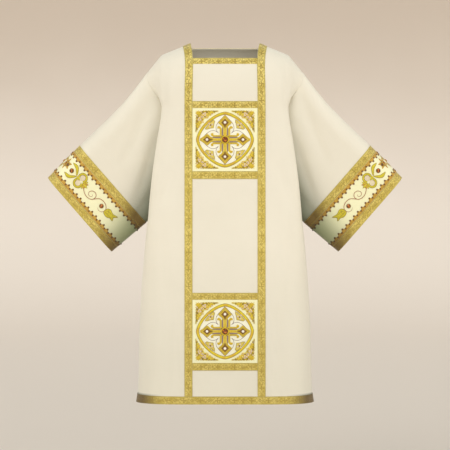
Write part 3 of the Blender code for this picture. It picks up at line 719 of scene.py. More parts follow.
front, back = bodySkin("front"), bodySkin("back")
sleeves = {"left": sleeveSkin(front, back, 1), "right": sleeveSkin(front, back, -1)}
skins = [front, back, *sleeves.values()]
shareNormals(skins)
for side, skin in (("front", front), ("back", back)):
    across, along = skin.lengths()
    fromRight = np.concatenate([np.zeros((len(across), 1)), np.cumsum(across, axis=1)], axis=1)
    creaseSkin(skin, [(side, slice(None))], np.minimum(fromRight, fromRight[:, -1:] - fromRight))
for skin in sleeves.values():
    across, along = skin.lengths()
    fromArmhole = np.concatenate([np.zeros((1, along.shape[1])), np.cumsum(along, axis=0)])
    halves = [("front", slice(0, underarmRow + 1)), ("back", slice(underarmRow + 1, None))]
    creaseSkin(skin, halves, fromArmhole)
for skin in (front, back):
    x, z = skin.points[..., 0], skin.points[..., 2]
    low = np.clip((hemDroop["fromZ"] - z) / (hemDroop["fromZ"] - cut["hemZ"]), 0, 1) ** 2
    skin.points[..., 2] -= hemDroop["depth"] * low * np.clip(abs(x) / hemDroop["edgeX"], 0, 1) ** 4
shareNormals(skins)
print("cloth laid out:", sum(skin.cells.sum() for skin in skins), "cells")


# Painted shade where the cloth lies deep beside the body, under the arm and at the cuff's lower end; also a
# little on the body's pieces lower down, and at the ends of the hem braid
shadeSettings = {
    "heights": (-0.75, -0.66, -0.60, -0.54, -0.47, -0.40, -0.30, -0.18, -0.11),
    "amounts": (0.55, 0.85, 0.90, 0.86, 0.62, 0.36, 0.22, 0.14, 0.0),
    "widths": (0.100, 0.094, 0.084, 0.070, 0.052, 0.038, 0.036, 0.030, 0.020),
    "cuffFrom": 0.66, "cuffAmount": 0.80, "cuffReach": 0.058,
    "skirtFrom": -0.60, "skirtAmount": 0.15,
    "hemFrom": 0.205, "hemAmount": 0.92,
}


def easeIn(value, low, high):
    share = np.clip((value - low) / (high - low), 0, 1)
    return share * share * (3 - 2 * share)


def shadeAt(points):
    look = shadeSettings
    x, z = abs(points[:, 0]), points[:, 2]
    edgeX = easedCurve([-row.z for row in bodySections], [row.edgeX for row in bodySections],
                       np.clip(-z, 0.195, 1.241))
    beside = np.maximum(x - edgeX, 0) / np.interp(z, look["heights"], look["widths"])
    onSleeve = float(x.min() > 0.15)
    deep = np.interp(z, look["heights"], look["amounts"]) * np.exp(-beside**1.5) * onSleeve
    topX, top = sleeveCut["startTop"]
    lowX, low = sleeveCut["startLow"]
    length = math.hypot(lowX - topX, low - top)
    downX, downZ = (lowX - topX) / length, (low - top) / length
    down = ((x - topX) * downX + (z - top) * downZ) / length
    inwards = np.maximum(0, -((x - topX) * -downZ + (z - top) * downX))
    cuffEnd = look["cuffAmount"] * easeIn(down, look["cuffFrom"], 1.02)
    cuffEnd = cuffEnd * np.exp(-inwards / look["cuffReach"]) * onSleeve
    skirt = look["skirtAmount"] * easeIn(-z, -look["skirtFrom"], 1.2) * (1 - onSleeve)
    hem = look["hemAmount"] * easeIn(x, look["hemFrom"], 0.312) * (z < -1.2125)
    return 1 - (1 - deep) * (1 - cuffEnd) * (1 - skirt) * (1 - hem)


def addPiece(name, points, faces, flat, material, sharpAngle=50):
    mesh = bpy.data.meshes.new(name)
    mesh.from_pydata(np.asarray(points).tolist(), [], faces)
    shade = mesh.attributes.new("shade", "FLOAT", "POINT")
    shade.data.foreach_set("value", shadeAt(np.asarray(points)).astype(np.float32))
    layer = mesh.uv_layers.new(name="flat")
    layer.data.foreach_set("uv", np.asarray(flat, np.float32).ravel())
    mesh.shade_smooth()
    mesh.set_sharp_from_angle(angle=math.radians(sharpAngle))
    mesh.materials.append(material)
    made = bpy.data.objects.new(name, mesh)
    bpy.context.scene.collection.objects.link(made)
    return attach(made, "root")


# A closed wall between two distances out from the skin
def addShell(name, skin, low, high, material, turnFlat=False):
    rows, columns = skin.points.shape[:2]
    across, along = skin.lengths()
    u = np.concatenate([[0], np.cumsum(across.mean(axis=0))])
    v = np.concatenate([[0], np.cumsum(along.mean(axis=1))])
    i, j = np.nonzero(skin.cells)
    order = [(i, j), (i, j + 1), (i + 1, j + 1), (i + 1, j)]
    if skin.outwards < 0:
        order = order[::-1]
    quads = np.stack([a * columns + b % columns for a, b in order], axis=1)
    flat = np.stack([np.column_stack([v[a], u[b]] if turnFlat else [u[b], v[a]]) for a, b in order], axis=1)
    count = rows * columns
    starts, ends = quads.ravel(), np.roll(quads, -1, axis=1).ravel()
    flatStarts, flatEnds = flat.reshape(-1, 2), np.roll(flat, -1, axis=1).reshape(-1, 2)
    rim = ~np.isin(starts * count + ends, ends * count + starts)
    s, e = starts[rim], ends[rim]
    rimQuads = np.column_stack([e + count, s + count, s, e])
    rimFlat = np.stack([flatEnds[rim], flatStarts[rim], flatStarts[rim], flatEnds[rim]], axis=1)
    faces = np.vstack([quads + count, quads[:, ::-1], rimQuads])
    allFlat = np.vstack([flat, flat[:, ::-1], rimFlat])
    points = np.vstack([(skin.points + skin.lift * d).reshape(-1, 3) for d in (low, high)])
    used, faces = np.unique(faces, return_inverse=True)
    return addPiece(name, points[used], faces.reshape(-1, 4).tolist(), allFlat, material)


def declareSheet(piece, skin):
    across, along = skin.lengths()
    width, length = float(across.sum(axis=1).max()), float(along.sum(axis=0).max())
    area = min(skin.area(), width * length)
    print("sheet", piece.name, round(width, 4), "x", round(length, 4), "m, area", round(area, 4))


trimSettings = {"braidThick": 0.0012, "satinThick": 0.0008, "bandThick": 0.0010}
gap = cut["gap"]

for name, skin, node in (("frontPanel", front, "front_panel"), ("backPanel", back, "back_panel")):
    panel = skin.part()
    panel.cells = skin.cells
    piece = addShell(name, panel, -cut["thick"], 0, ivory)
    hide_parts(node)
    declareSheet(piece, panel)

for hand, skin in sleeves.items():
    sleeve = skin.part()
    piece = addShell(f"sleeve{hand.title()}", sleeve, -cut["thick"], 0, ivory)
    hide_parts(f"sleeve_{hand}")
    declareSheet(piece, sleeve)
print("cloth made")

braidStrips = []


def addBraid(name, skin, node, turnFlat=False, lengthwise="columns"):
    piece = addShell(name, skin, gap, gap + trimSettings["braidThick"], galloon, turnFlat)
    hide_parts(node)
    declareSheet(piece, skin)
    braidStrips.append((skin, lengthwise))
    return piece


def joinedOverShoulder(first, second):
    made = Skin(np.concatenate([first.points[::-1], second.points[1:]]), -first.outwards)
    made.lift = np.concatenate([first.lift[::-1], second.lift[1:]])
    return made


for hand, first in (("left", middleColumn + braidIn), ("right", middleColumn - braidOut)):
    halves = []
    for whole in (front, back):
        columns = slice(first, first + cut["braidCells"] + 1)
        half = Skin(whole.points[:hemRow + 1, columns], whole.outwards)
        half.lift = whole.lift[:hemRow + 1, columns]
        halves.append(half)
    clavus = joinedOverShoulder(*halves).part()
    addBraid(f"clavus{hand.title()}", clavus, f"clavus_{hand}", True, "rows")

between = slice(middleColumn - braidIn, middleColumn + braidIn + 1)
for side, skin in (("front", front), ("back", back)):
    neckRow = cut["neckShares"][side] * cut["domeCells"]
    braid = skin.part(slice(neckRow, neckRow + cut["domeCells"] + 1), between)
    addBraid(f"neckBraid{side.title()}", braid, f"neck_braid_{side}")
for level, bars in barRows.items():
    for place, (high, low) in bars.items():
        braid = front.part(slice(rowAt(high), rowAt(low) + 1), between)
        addBraid(f"bar{level.title()}{place.title()}", braid, f"bar_{level}_{place}")
    ground = front.part(slice(rowAt(bars["top"][1]), rowAt(bars["foot"][0]) + 1), between)
    piece = addShell(f"square{level.title()}", ground, gap, gap + trimSettings["satinThick"], satin)
    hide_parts(f"square_{level}")
    declareSheet(piece, ground)


def hemRing(frontValues, backValues):
    return np.concatenate([frontValues[hemRow:], backValues[hemRow:, -2:0:-1]], axis=1)


hem = Skin(hemRing(front.points, back.points), front.outwards, closed=True)
hem.lift = hemRing(front.lift, back.lift)
addBraid("hemBraid", hem.part(), "hem_braid")

for hand, skin in sleeves.items():
    bandStart = cuffRow + sleeveCut["braidCells"]
    bandEnd = bandStart + sleeveCut["bandCells"]
    for place, rows in (("Inner", slice(cuffRow, bandStart + 1)), ("Outer", slice(bandEnd, None))):
        node = f"cuff_braid_{place.lower()}_{hand}"
        addBraid(f"cuffBraid{place}{hand.title()}", skin.part(rows), node)
    band = skin.part(slice(bandStart, bandEnd + 1))
    piece = addShell(f"cuffBand{hand.title()}", band, gap, gap + trimSettings["bandThick"], satin)
    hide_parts(f"cuff_band_{hand}")
    declareSheet(piece, band)
print("braids and grounds laid")


# A smooth line through listed points
def smoothLine(points, steps=8, closed=False):
    points = np.asarray(points, float)
    if closed:
        padded = np.vstack([points[-1], points, points[:2]])
    else:
        padded = np.vstack([2 * points[0] - points[1], points, 2 * points[-1] - points[-2]])
    t = (np.arange(steps) / steps)[:, None]
    pieces = []
    for a, b, c, d in zip(padded, padded[1:], padded[2:], padded[3:]):
        bend, twist = 2 * a - 5 * b + 4 * c - d, 3 * b - a - 3 * c + d
        pieces.append(0.5 * (2 * b + (c - a) * t + bend * t**2 + twist * t**3))
    return np.vstack([*pieces, *([] if closed else [points[-1:]])])


def roundLine(centre, radius, count=24):
    angles = np.linspace(0, 2 * math.pi, count, endpoint=False)
    return np.array(centre) + radius * np.column_stack([np.cos(angles), np.sin(angles)])


def turnedBy(points, degrees):
    turn = complex(math.cos(math.radians(degrees)), math.sin(math.radians(degrees)))
    values = (np.asarray(points)[:, 0] + 1j * np.asarray(points)[:, 1]) * turn
    return np.column_stack([values.real, values.imag])


def mirrored(points):
    return np.asarray(points) * (-1, 1)


roundProfile = ((0.0, 0.0), (0.08, 0.55), (0.26, 0.90), (0.50, 1.0), (0.74, 0.90), (0.92, 0.55), (1.0, 0.0))
flatProfile = ((0.0, 0.0), (0.06, 0.8), (0.14, 1.0), (0.86, 1.0), (0.94, 0.8), (1.0, 0.0))
leafRings = ((1.0, 0.0), (0.95, 0.5), (0.82, 0.85), (0.5, 1.0))
plateRings = ((1.0, 0.0), (0.985, 1.0), (0.6, 1.0))
domeRings = tuple((math.sin(a), math.cos(a)) for a in np.radians((90, 72, 54, 36, 18)))
gemRings = ((1.0, 0.0), (1.0, 0.25), (0.78, 0.72), (0.45, 1.0))


# Raised work drawn flat in millimetres, across, up and out, and sewn onto a ground afterwards
class Needlework:
    def __init__(self):
        self.points = []
        self.faces = []
        self.flat = []
        self.count = 0

    def add(self, points, faces, flat):
        self.points.append(np.asarray(points, float))
        for face in faces:
            self.faces.append([self.count + corner for corner in face])
            self.flat.extend(flat[corner] for corner in face)
        self.count += len(points)

    def band(self, left, right, height, lift=0.0, profile=roundProfile, closed=False):
        left, right = np.asarray(left, float), np.asarray(right, float)
        rows, columns = len(left), len(profile)
        height = np.broadcast_to(height, rows)
        middle = (left + right) / 2
        steps = np.linalg.norm(np.diff(np.vstack([middle, middle[:1]]), axis=0), axis=1)
        along = np.concatenate([[0], np.cumsum(steps)])
        points, flat = [], []
        for n in range(rows):
            for share, rise in profile:
                spot = left[n] + (right[n] - left[n]) * share
                points.append((*spot, lift + height[n] * rise))
                flat.append((along[n], share * np.linalg.norm(right[n] - left[n])))
        faces = []
        for n in range(rows if closed else rows - 1):
            after = (n + 1) % rows
            for k in range(columns - 1):
                a, b = n * columns + k, after * columns + k
                faces.append((a, a + 1, b + 1, b))
        self.add(points, faces, flat)

    def cord(self, line, width, height, lift=0.0, closed=False, taper=False, profile=roundProfile):
        line = np.asarray(line, float)
        if closed:
            run = np.roll(line, -1, axis=0) - np.roll(line, 1, axis=0)
        else:
            run = np.gradient(line, axis=0)
        run /= np.maximum(np.linalg.norm(run, axis=1, keepdims=True), 1e-9)
        side = np.column_stack([-run[:, 1], run[:, 0]])
        share = np.linspace(0, 1, len(line))
        size = np.sqrt(np.clip(1 - share**3, 0.02, 1)) if taper else np.ones(len(line))
        half = (np.broadcast_to(width, len(line)) * size / 2)[:, None]
        self.band(line + side * half, line - side * half, height * size, lift, profile, closed)

    # a shape that every ray from its centre leaves once, domed in rings
    def petal(self, outline, height, lift=0.0, centre=None, rings=leafRings, grain=0.0):
        outline = np.asarray(outline, float)
        after = np.roll(outline, -1, axis=0)
        if (outline[:, 0] * after[:, 1] - outline[:, 1] * after[:, 0]).sum() < 0:
            outline = outline[::-1]
        centre = outline.mean(axis=0) if centre is None else np.array(centre, float)
        count = len(outline)
        points = [(*(centre + (p - centre) * scale), lift + height * rise)
                  for scale, rise in rings for p in outline]
        points.append((*centre, lift + height))
        faces = []
        for n in range(len(rings) - 1):
            for k in range(count):
                a, b = n * count + k, n * count + (k + 1) % count
                faces.append((a, b, b + count, a + count))
        last = (len(rings) - 1) * count
        faces += [(last + k, last + (k + 1) % count, len(points) - 1) for k in range(count)]
        self.add(points, faces, turnedBy([p[:2] for p in points], -grain).tolist())

    def sew(self, name, ground, material, slotName, nodes=(), sharpAngle=60):
        points = ground.place(np.vstack(self.points) * 0.001)
        faces, flat = self.faces, np.array(self.flat) * 0.001
        if ground.mirrored:
            starts = np.cumsum([0] + [len(face) for face in faces])
            faces = [face[::-1] for face in faces]
            flat = np.vstack([flat[a:b][::-1] for a, b in zip(starts, starts[1:])])
        piece = addPiece(name, points, faces, flat, material, sharpAngle)
        if nodes:
            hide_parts(*nodes)
        return piece


Ground = namedtuple("Ground", "place mirrored")


def squareGround(level):
    high, low = (np.array([0, -panelDepth("front", z), z]) for z in
                 (barRows[level]["top"][1], barRows[level]["foot"][0]))
    up = (high - low) / np.linalg.norm(high - low)
    outwards = np.cross((1, 0, 0), up)
    base = gap + trimSettings["satinThick"]

    def place(flat):
        middle = (high + low) / 2 + outwards * base
        return middle + flat[:, :1] * (1, 0, 0) + flat[:, 1:2] * up + flat[:, 2:] * outwards

    return Ground(place, False)


# Across the first coordinate lies round the cuff from its top fold, the second runs towards its edge
def cuffGround(hand, side):
    skin = sleeves[hand]
    ring = skin.points[cuffRow + sleeveCut["braidCells"] + sleeveCut["bandCells"] // 2]
    steps = np.linalg.norm(np.diff(np.vstack([ring, ring[:1]]), axis=0), axis=1)
    along = np.concatenate([[0], np.cumsum(steps)])
    way = 1 if side == "front" else -1
    base = gap + trimSettings["bandThick"]

    def place(flat):
        columns = np.interp(way * flat[:, 0] % along[-1], along, np.arange(len(along)))
        down = sleeveCut["cuffDepth"] / 2 + flat[:, 1]
        rows = cuffRow + np.interp(down, cuffPlaces, np.arange(len(cuffPlaces)))
        j, i = columns.astype(int), np.minimum(rows.astype(int), len(skin.points) - 2)
        across, down = (columns - j)[:, None], (rows - i)[:, None]
        spots = []
        for values in (skin.points, skin.lift):
            first, second = values[:, j % len(ring)], values[:, (j + 1) % len(ring)]
            pick = np.arange(len(i))
            upper = first[i, pick] * (1 - across) + second[i, pick] * across
            lower = first[i + 1, pick] * (1 - across) + second[i + 1, pick] * across
            spots.append(upper * (1 - down) + lower * down)
        return spots[0] + spots[1] * (base + flat[:, 2:])

    return Ground(place, way * (1 if hand == "left" else -1) < 0)


# The embroidered square, in millimetres from its middle
squareWork = {
    "ringHalfWidth": 98.2, "ringHalfHeight": 94.6, "ringWidth": 8.6, "ringBow": 1.57, "ringHeight": 2.2,
    "edgeCord": 1.3,
    "stoneRadius": 9.4, "stoneHeight": 5.6, "bezelWidth": 3.6,
    "pearlPlace": 58.8, "pearlRadius": 4.7,
    "leafBorder": (100.5, 98.5), "leafClear": 8.0, "sideStretch": (0.84, 1.05),
}
crossArm = {
    "plate": [(14.6, 9), (14.6, 34), (10, 42), (-10, 42), (-14.6, 34), (-14.6, 9)],
    "lozenge": [(0, 40), (8, 47), (19.5, 58), (9.0, 70.0), (0, 81.5), (-9.0, 70.0), (-19.5, 58), (-8, 47)],
    "lozengeLine": [(7.0, 41), (9.0, 48.0), (19.4, 58), (9.6, 70.0), (0, 81.5)],
    "innerLozenge": [(0, 38), (3.2, 47), (12.9, 58.3), (0, 71.5), (-12.9, 58.3), (-3.2, 47)],
    "innerLine": [(3.0, 40), (4.6, 48), (13.6, 58.4), (0, 73.0)],
    "edgeLine": [(15.0, 11), (15.2, 24), (15.3, 34), (16.4, 40), (20.4, 44.2), (24.8, 42.4), (25.4, 38.0)],
    "edgeLeaf": [(13.2, 30), (17.6, 31), (18.4, 37), (23.0, 38.5), (25.6, 41.5), (23.2, 45.4), (17.6, 44.8),
                 (13.4, 41)],
    "mauveLine": [(8.8, 15), (8.8, 27), (8.8, 36), (9.4, 41.5)],
    "middleLine": [(0, 12), (0, 28), (0, 40)],
    "knob": (23.4, 40.6), "knobRadius": 2.8,
    "tip": (22.2, 58.2),
}
quatrefoilLobe = [(22.8, 22.8), (28.8, 31), (31.0, 41), (28.8, 51), (21.4, 62), (10.5, 73.5), (0, 84.6)]
bandEdge = [(39.5, 39.0), (40.4, 46), (39.2, 54), (35.0, 64.5)]
trefoilSide = {
    "arcFrom": 27.5, "arcGap": 3.2,
    "inside": [(62.0, 35.0), (54.0, 37.6), (46.0, 38.8), (40.6, 39.8), (39.8, 45.2), (38.4, 53.0),
               (35.8, 60.0)],
    "centre": (50.5, 50.0), "dot": (49.8, 49.2), "dotRadius": 2.8,
}


def ringLine(margin, count=144):
    angles = np.linspace(0, 2 * math.pi, count, endpoint=False)
    across = abs(np.cos(angles)) / (squareWork["ringHalfWidth"] + margin)
    along = abs(np.sin(angles)) / (squareWork["ringHalfHeight"] + margin)
    bow = squareWork["ringBow"]
    reach = (across**bow + along**bow) ** (-1 / bow)
    return np.column_stack([reach * np.cos(angles), reach * np.sin(angles)])


def leafShape(place, length, width, degrees, lobes=3):
    t = np.linspace(0, 1, 13)
    half = width / 2 * np.sin(np.pi * t) ** 0.75
    half = half * (1 + 0.16 * np.sin(2 * np.pi * lobes * t)) * (1.25 - 0.6 * t)
    shape = np.vstack([np.column_stack([length * t, half]), np.column_stack([length * t, -half])[-2:0:-1]])
    return turnedBy(shape - (length * 0.08, 0), degrees) + place


def blossomShape(place, radius, petals, depth=0.22, start=0.0):
    angles = np.linspace(0, 2 * math.pi, petals * 8, endpoint=False)
    reach = radius * (1 - depth + depth * np.cos(petals * (angles - math.radians(start))))
    return np.array(place) + np.column_stack([reach * np.cos(angles), reach * np.sin(angles)])


# Corner leaf work, one row a leaf: place, length, width, direction and thread, for half a corner
Leaf = namedtuple("Leaf", "x y length width degrees thread")
cornerLeaves = (
    Leaf(84.0, 87.5, 15.0, 12.0, 45, "bright"), Leaf(56.0, 97.0, 18.0, 8.5, 236, "bright"),
    Leaf(47.0, 97.5, 12.0, 6.0, 236, "bright"), Leaf(62.5, 85.0, 12.0, 6.5, 250, "gold"),
    Leaf(67.0, 80.0, 13.0, 6.5, 215, "gold"), Leaf(75.5, 76.5, 10.0, 6.0, 205, "paleGold"),
    Leaf(84.0, 88.5, 13.0, 7.0, 150, "ochre"), Leaf(73.5, 97.5, 10.5, 5.0, 205, "gold"),
    Leaf(76.0, 84.5, 11.0, 6.2, 196, "gold"), Leaf(66.5, 93.5, 11.0, 5.8, 168, "ochre"),
    Leaf(66.5, 85.0, 10.0, 5.6, 148, "paleGold"), Leaf(58.5, 95.5, 9.5, 5.0, 198, "gold"),
    Leaf(57.0, 88.5, 10.0, 5.2, 172, "ochre"), Leaf(49.5, 95.5, 9.0, 4.6, 196, "paleGold"),
    Leaf(47.5, 91.0, 9.0, 4.4, 176, "gold"), Leaf(40.0, 95.6, 9.5, 4.2, 184, "ochre"),
    Leaf(72.0, 78.0, 9.5, 5.4, 168, "ochre"), Leaf(79.5, 97.0, 8.0, 4.4, 176, "ochre"),
    Leaf(64.0, 80.5, 8.0, 4.6, 190, "gold"), Leaf(88.0, 80.5, 9.5, 5.6, 232, "gold"),
    Leaf(54.5, 92.4, 7.5, 4.0, 150, "gold"), Leaf(83.0, 95.4, 8.5, 4.6, 214, "paleGold"),
)
cornerBlossoms = (
    (70.5, 87.0, 8.4, 3, "pink"), (77.5, 77.5, 4.8, 5, "pink"), (61.5, 77.5, 3.4, 4, "pink"),
    (45.0, 87.5, 3.2, 4, "pink"), (81.5, 96.0, 3.4, 4, "pink"),
)
cornerDots = (
    (76.5, 92.5), (68.0, 89.5), (59.5, 92.0), (83.5, 85.5), (74.0, 81.5), (53.0, 95.2), (86.0, 93.5),
    (64.5, 96.0),
)


# The ground of the leaf work: a worked corner between the square's border and the ring, with a lobed edge
def foliageOutline():
    width, height = squareWork["leafBorder"]
    inner = ringLine(squareWork["leafClear"], 360)[4:87]
    clear = (inner[:, 0] < width - 1) & (inner[:, 1] < height - 1)
    inner = inner[clear]
    run = np.concatenate([[0], np.cumsum(np.linalg.norm(np.diff(inner, axis=0), axis=1))])
    lobes = 3.2 * abs(np.sin(np.pi * run / 8.5))
    cusp = 5.0 * np.exp(-((run - run[-1] / 2) / 5.0) ** 2)
    inner = inner + ((lobes + cusp) / np.linalg.norm(inner, axis=1))[:, None] * inner
    top = np.linspace(inner[-1, 0], width, 60)
    side = np.linspace(height, inner[0, 1], 60)[1:]
    topLobes, sideLobes = (4.6 * abs(np.sin(np.pi * values / 9.1)) for values in (top, side))
    outer = [*zip(top, height + 2.0 - topLobes), *zip(width + 1.6 - sideLobes, side)]
    return np.vstack([inner, outer])


def squareParts():
    parts = {name: Needlework() for name in (
        "field", "line", "ring", "ringEdge", "crossEdge", "crossGold", "crossPale", "crossBrown",
        "crossMauve", "trefoil", "leafGround", "leavesGold", "leavesPale", "leavesOchre", "leavesPink",
        "leavesBright", "pearls", "stone",
    )}
    work = squareWork
    parts["field"].petal(ringLine(-work["ringWidth"] + 1.0), 0.25, 0.0, (0, 0), plateRings)
    parts["ring"].band(ringLine(-work["ringWidth"]), ringLine(0), work["ringHeight"], closed=True)
    for margin in (-work["ringWidth"] - 0.2, 0.4):
        parts["ringEdge"].cord(ringLine(margin), work["edgeCord"], 1.3, closed=True)
    stoneLine = roundLine((0, 0), work["stoneRadius"] + work["bezelWidth"] / 2, 36)
    parts["crossGold"].cord(stoneLine, work["bezelWidth"], 2.2, 1.6, closed=True)
    stone = roundLine((0, 0), work["stoneRadius"], 12)
    parts["stone"].petal(stone, work["stoneHeight"], 1.4, (0, 0), gemRings)
    parts["crossBrown"].cord(roundLine((0, 0), work["stoneRadius"] + 0.4, 36), 1.8, 2.6, 1.9, closed=True)
    parts["crossBrown"].cord(roundLine((0, 0), 15.4, 36), 1.2, 1.9, 0.2, closed=True)
    parts["crossGold"].petal(roundLine((0, 0), 15, 36), 1.5, 0.2, (0, 0), plateRings)

    for quarter in range(4):
        turn = 90 * quarter
        stretch = work["sideStretch"] if quarter % 2 else (1, 1)

        def both(line):
            line = np.asarray(line, float) * stretch
            return turnedBy(line, turn), turnedBy(mirrored(line), turn)

        arm = {name: np.array(line) * stretch for name, line in crossArm.items() if name != "knobRadius"}
        for name, middle in (("plate", 22), ("lozenge", 60)):
            centre = turnedBy([(0, middle)], turn)[0]
            parts["crossPale"].petal(turnedBy(arm[name], turn), 0.9, 0.2, centre, plateRings)
        brown = smoothLine(arm["innerLozenge"], 1, closed=True)
        arm = crossArm
        centre = turnedBy([(0, 59)], turn)[0]
        parts["crossBrown"].petal(turnedBy(brown, turn), 0.8, 1.1, centre, leafRings, turn)
        middle = smoothLine(arm["middleLine"])
        width = np.linspace(8.4, 3.4, len(middle))
        parts["crossGold"].cord(turnedBy(middle, turn), width, 1.7, 1.1)
        pearlSpot = turnedBy([(0, work["pearlPlace"] * stretch[1])], turn)[0]
        parts["pearls"].petal(roundLine(pearlSpot, work["pearlRadius"], 20), 3.4, 1.4, pearlSpot, domeRings)
        for line in both(smoothLine(arm["lozengeLine"], 6)):
            parts["crossEdge"].cord(line, 5.0, 1.0, 0.9)
            parts["crossGold"].cord(line, 3.9, 1.7, 1.0)
        for line in both(arm["innerLine"]):
            parts["crossGold"].cord(smoothLine(line, 5), 1.7, 1.2, 1.3)
        for line in both(smoothLine(arm["edgeLine"])):
            parts["crossEdge"].cord(line, 5.6, 1.2, 0.4, taper=True)
            parts["crossGold"].cord(line, 4.2, 1.9, 1.0, taper=True)
        for line in both(smoothLine(arm["mauveLine"])):
            parts["crossMauve"].cord(line, 4.6, 1.2, 1.0, taper=True)
        for line in both(arm["edgeLeaf"]):
            parts["crossGold"].petal(smoothLine(line, 3, closed=True), 1.2, 0.3)
        for (spot,) in both([arm["knob"]]):
            parts["crossGold"].petal(roundLine(spot, arm["knobRadius"], 14), 2.0, 0.9, spot, domeRings)
        for (spot,) in both([arm["tip"]]):
            parts["crossGold"].petal(roundLine(spot, 2.0, 12), 1.8, 0.6, spot, domeRings)
        for line in both(smoothLine(quatrefoilLobe, 10) / stretch):
            parts["line"].cord(line, 1.5, 0.7, 0.25)
        for line in both(smoothLine(bandEdge, 8) / stretch):
            parts["leavesPale"].cord(line, 1.3, 0.7, 0.25)
        corner = trefoilSide
        arc = ringLine(-work["ringWidth"] - corner["arcGap"], 144)
        degrees = np.degrees(np.arctan2(arc[:, 1], arc[:, 0]))
        arc = arc[(degrees > corner["arcFrom"]) & (degrees < 90 - corner["arcFrom"])]
        inside = smoothLine(corner["inside"], 4)[::-1]
        outline = turnedBy(np.vstack([arc, inside]), turn)
        centre = turnedBy([corner["centre"]], turn)[0]
        parts["trefoil"].petal(outline, 0.9, 0.25, centre, leafRings, turn)
        parts["leavesOchre"].cord(outline, 1.5, 1.3, 0.3, closed=True)
        for degrees in (45, 165, 285):
            spot = centre + turnedBy([(6.4, 0)], degrees + turn)[0]
            parts["leavesPink"].petal(roundLine(spot, 3.4, 12), 1.1, 0.9, spot, domeRings)
        dot = turnedBy([corner["dot"]], turn)[0]
        parts["crossBrown"].petal(roundLine(dot, corner["dotRadius"], 14), 1.6, 1.1, dot, domeRings)

    def inCorner(shape, across, over, swap):
        shape = np.asarray(shape, float)
        return (shape[:, ::-1] if swap else shape) * (across, over)

    leafParts = {
        "gold": "leavesGold", "paleGold": "leavesPale", "ochre": "leavesOchre", "pink": "leavesPink",
        "bright": "leavesBright",
    }
    for across, over in ((1, 1), (-1, 1), (-1, -1), (1, -1)):
        leafEdge = inCorner(foliageOutline(), across, over, False)
        parts["leafGround"].petal(leafEdge, 0.9, 0.0, (91 * across, 91 * over), plateRings)
        parts["leavesPale"].cord(leafEdge, 0.9, 1.0, 0.2, closed=True)
        for swap in (False, True):
            for n, leaf in enumerate(cornerLeaves):
                shape = leafShape((leaf.x, leaf.y), leaf.length, leaf.width, leaf.degrees)
                shape = np.minimum(shape, work["leafBorder"][1])
                centre = inCorner([shape.mean(axis=0)], across, over, swap)[0]
                grain = math.degrees(math.atan2(over * math.sin(math.radians(leaf.degrees)),
                                                across * math.cos(math.radians(leaf.degrees))))
                parts[leafParts[leaf.thread]].petal(
                    inCorner(shape, across, over, swap), 1.3 + 0.25 * (n % 3), 0.0, centre, leafRings, grain)
            for x, y, radius, petals, thread in cornerBlossoms:
                shape = inCorner(blossomShape((x, y), radius, petals), across, over, swap)
                spot = inCorner([(x, y)], across, over, swap)[0]
                parts[leafParts[thread]].petal(shape, 1.9, 0.1, spot)
                parts["leavesGold"].petal(roundLine(spot, radius * 0.3, 10), 0.8, 1.8, spot, domeRings)
            for place in cornerDots:
                spot = inCorner([place], across, over, swap)[0]
                parts["crossBrown"].petal(roundLine(spot, 1.1, 8), 1.2, 1.2, spot, domeRings)
        bright = inCorner(blossomShape((91.5, 91.5), 8.0, 4, 0.25, 45), across, over, False)
        spot = inCorner([(91.5, 91.5)], across, over, False)[0]
        parts["leavesGold"].petal(bright, 2.2, 0.2, spot)
    return parts


squareFinishes = {
    "field": white, "line": threads["mauve"], "ring": ringGold, "ringEdge": threads["ochre"],
    "crossEdge": threads["olive"], "crossGold": threads["gold"], "crossPale": threads["paleGold"],
    "crossBrown": threads["brown"],
    "crossMauve": threads["mauve"], "trefoil": threads["paleGold"], "leavesGold": threads["gold"],
    "leavesPale": threads["paleGold"], "leavesOchre": threads["ochre"], "leavesPink": threads["pink"],
    "leafGround": foliage, "leavesBright": threads["bright"], "pearls": pearl, "stone": garnet,
}
squareParted = squareParts()
for level in ("upper", "lower"):
    replaced = {
        "ring": [f"ring_{level}"], "crossGold": [f"cross_{level}"], "stone": [f"stone_{level}"],
        "leafGround": [f"sprig_{level}_{n}" for n in range(1, 5)],
    }
    ground = squareGround(level)
    for name, work in squareParted.items():
        slotName = "garnet_glass" if name == "stone" else "gold_embroidery"
        sharp = 12 if name == "stone" else 60
        stands = replaced.get(name, ())
        work.sew(f"{name}{level.title()}", ground, squareFinishes[name], slotName, stands, sharp)
print("squares sewn:", sum(len(work.faces) for work in squareParted.values()), "faces each")


# The cuff's band, in millimetres: round from the top fold, then from its middle towards the cuff's edge
cuffWork = {
    "bandHalf": 51.5, "toothBase": 43.6, "toothTip": 36.8, "toothPitch": 20.4, "dotRadius": 3.4,
    "aside": -3.0, "fold": 44.0,
    "stones": ((40.0, 0.0), (200.0, 3.0)), "stoneRadius": 6.4, "stoneHeight": 4.0,
    "lobe": (85.0, 12.2), "lobeRadius": 13.8, "lobeWidth": 6.4, "lobeTurn": (212, -42),
    "upperLeaf": [(62, 2), (54, 9), (45, 16), (36, 18.5), (25, 22), (33, 25.5), (41, 27.5), (48, 25.5),
                  (55, 19), (61, 10), (64, 3)],
    "scroll": [(114, 10), (121, 15), (134, 20), (150, 19), (162, 10.5), (163, -3.5), (153, -11.5),
               (141, -8.5), (135, 2), (140, 10.5), (149, 10.5), (153, 3.5), (148, -0.5)],
    "stem": [(160, 13.5), (168, 1.5), (178, -9.5), (192, -13.5), (206, -11.5), (216, -4.5), (220, 5.5),
             (215, 16.5), (204, 20.5), (194, 16.5)],
    "bud": [(219, 3), (223, -8), (232, -12.5), (242, -10), (251, -9), (267, -14), (258, -1), (264, 9),
            (251, 9), (241, 15), (229, 15), (221, 11)],
}
budVeins = ([(222, 3), (232, -4), (243, -4), (254, -6)], [(223, 6), (233, 7), (243, 6), (256, 5)],
            [(228, -8), (234, 1), (230, 11)])
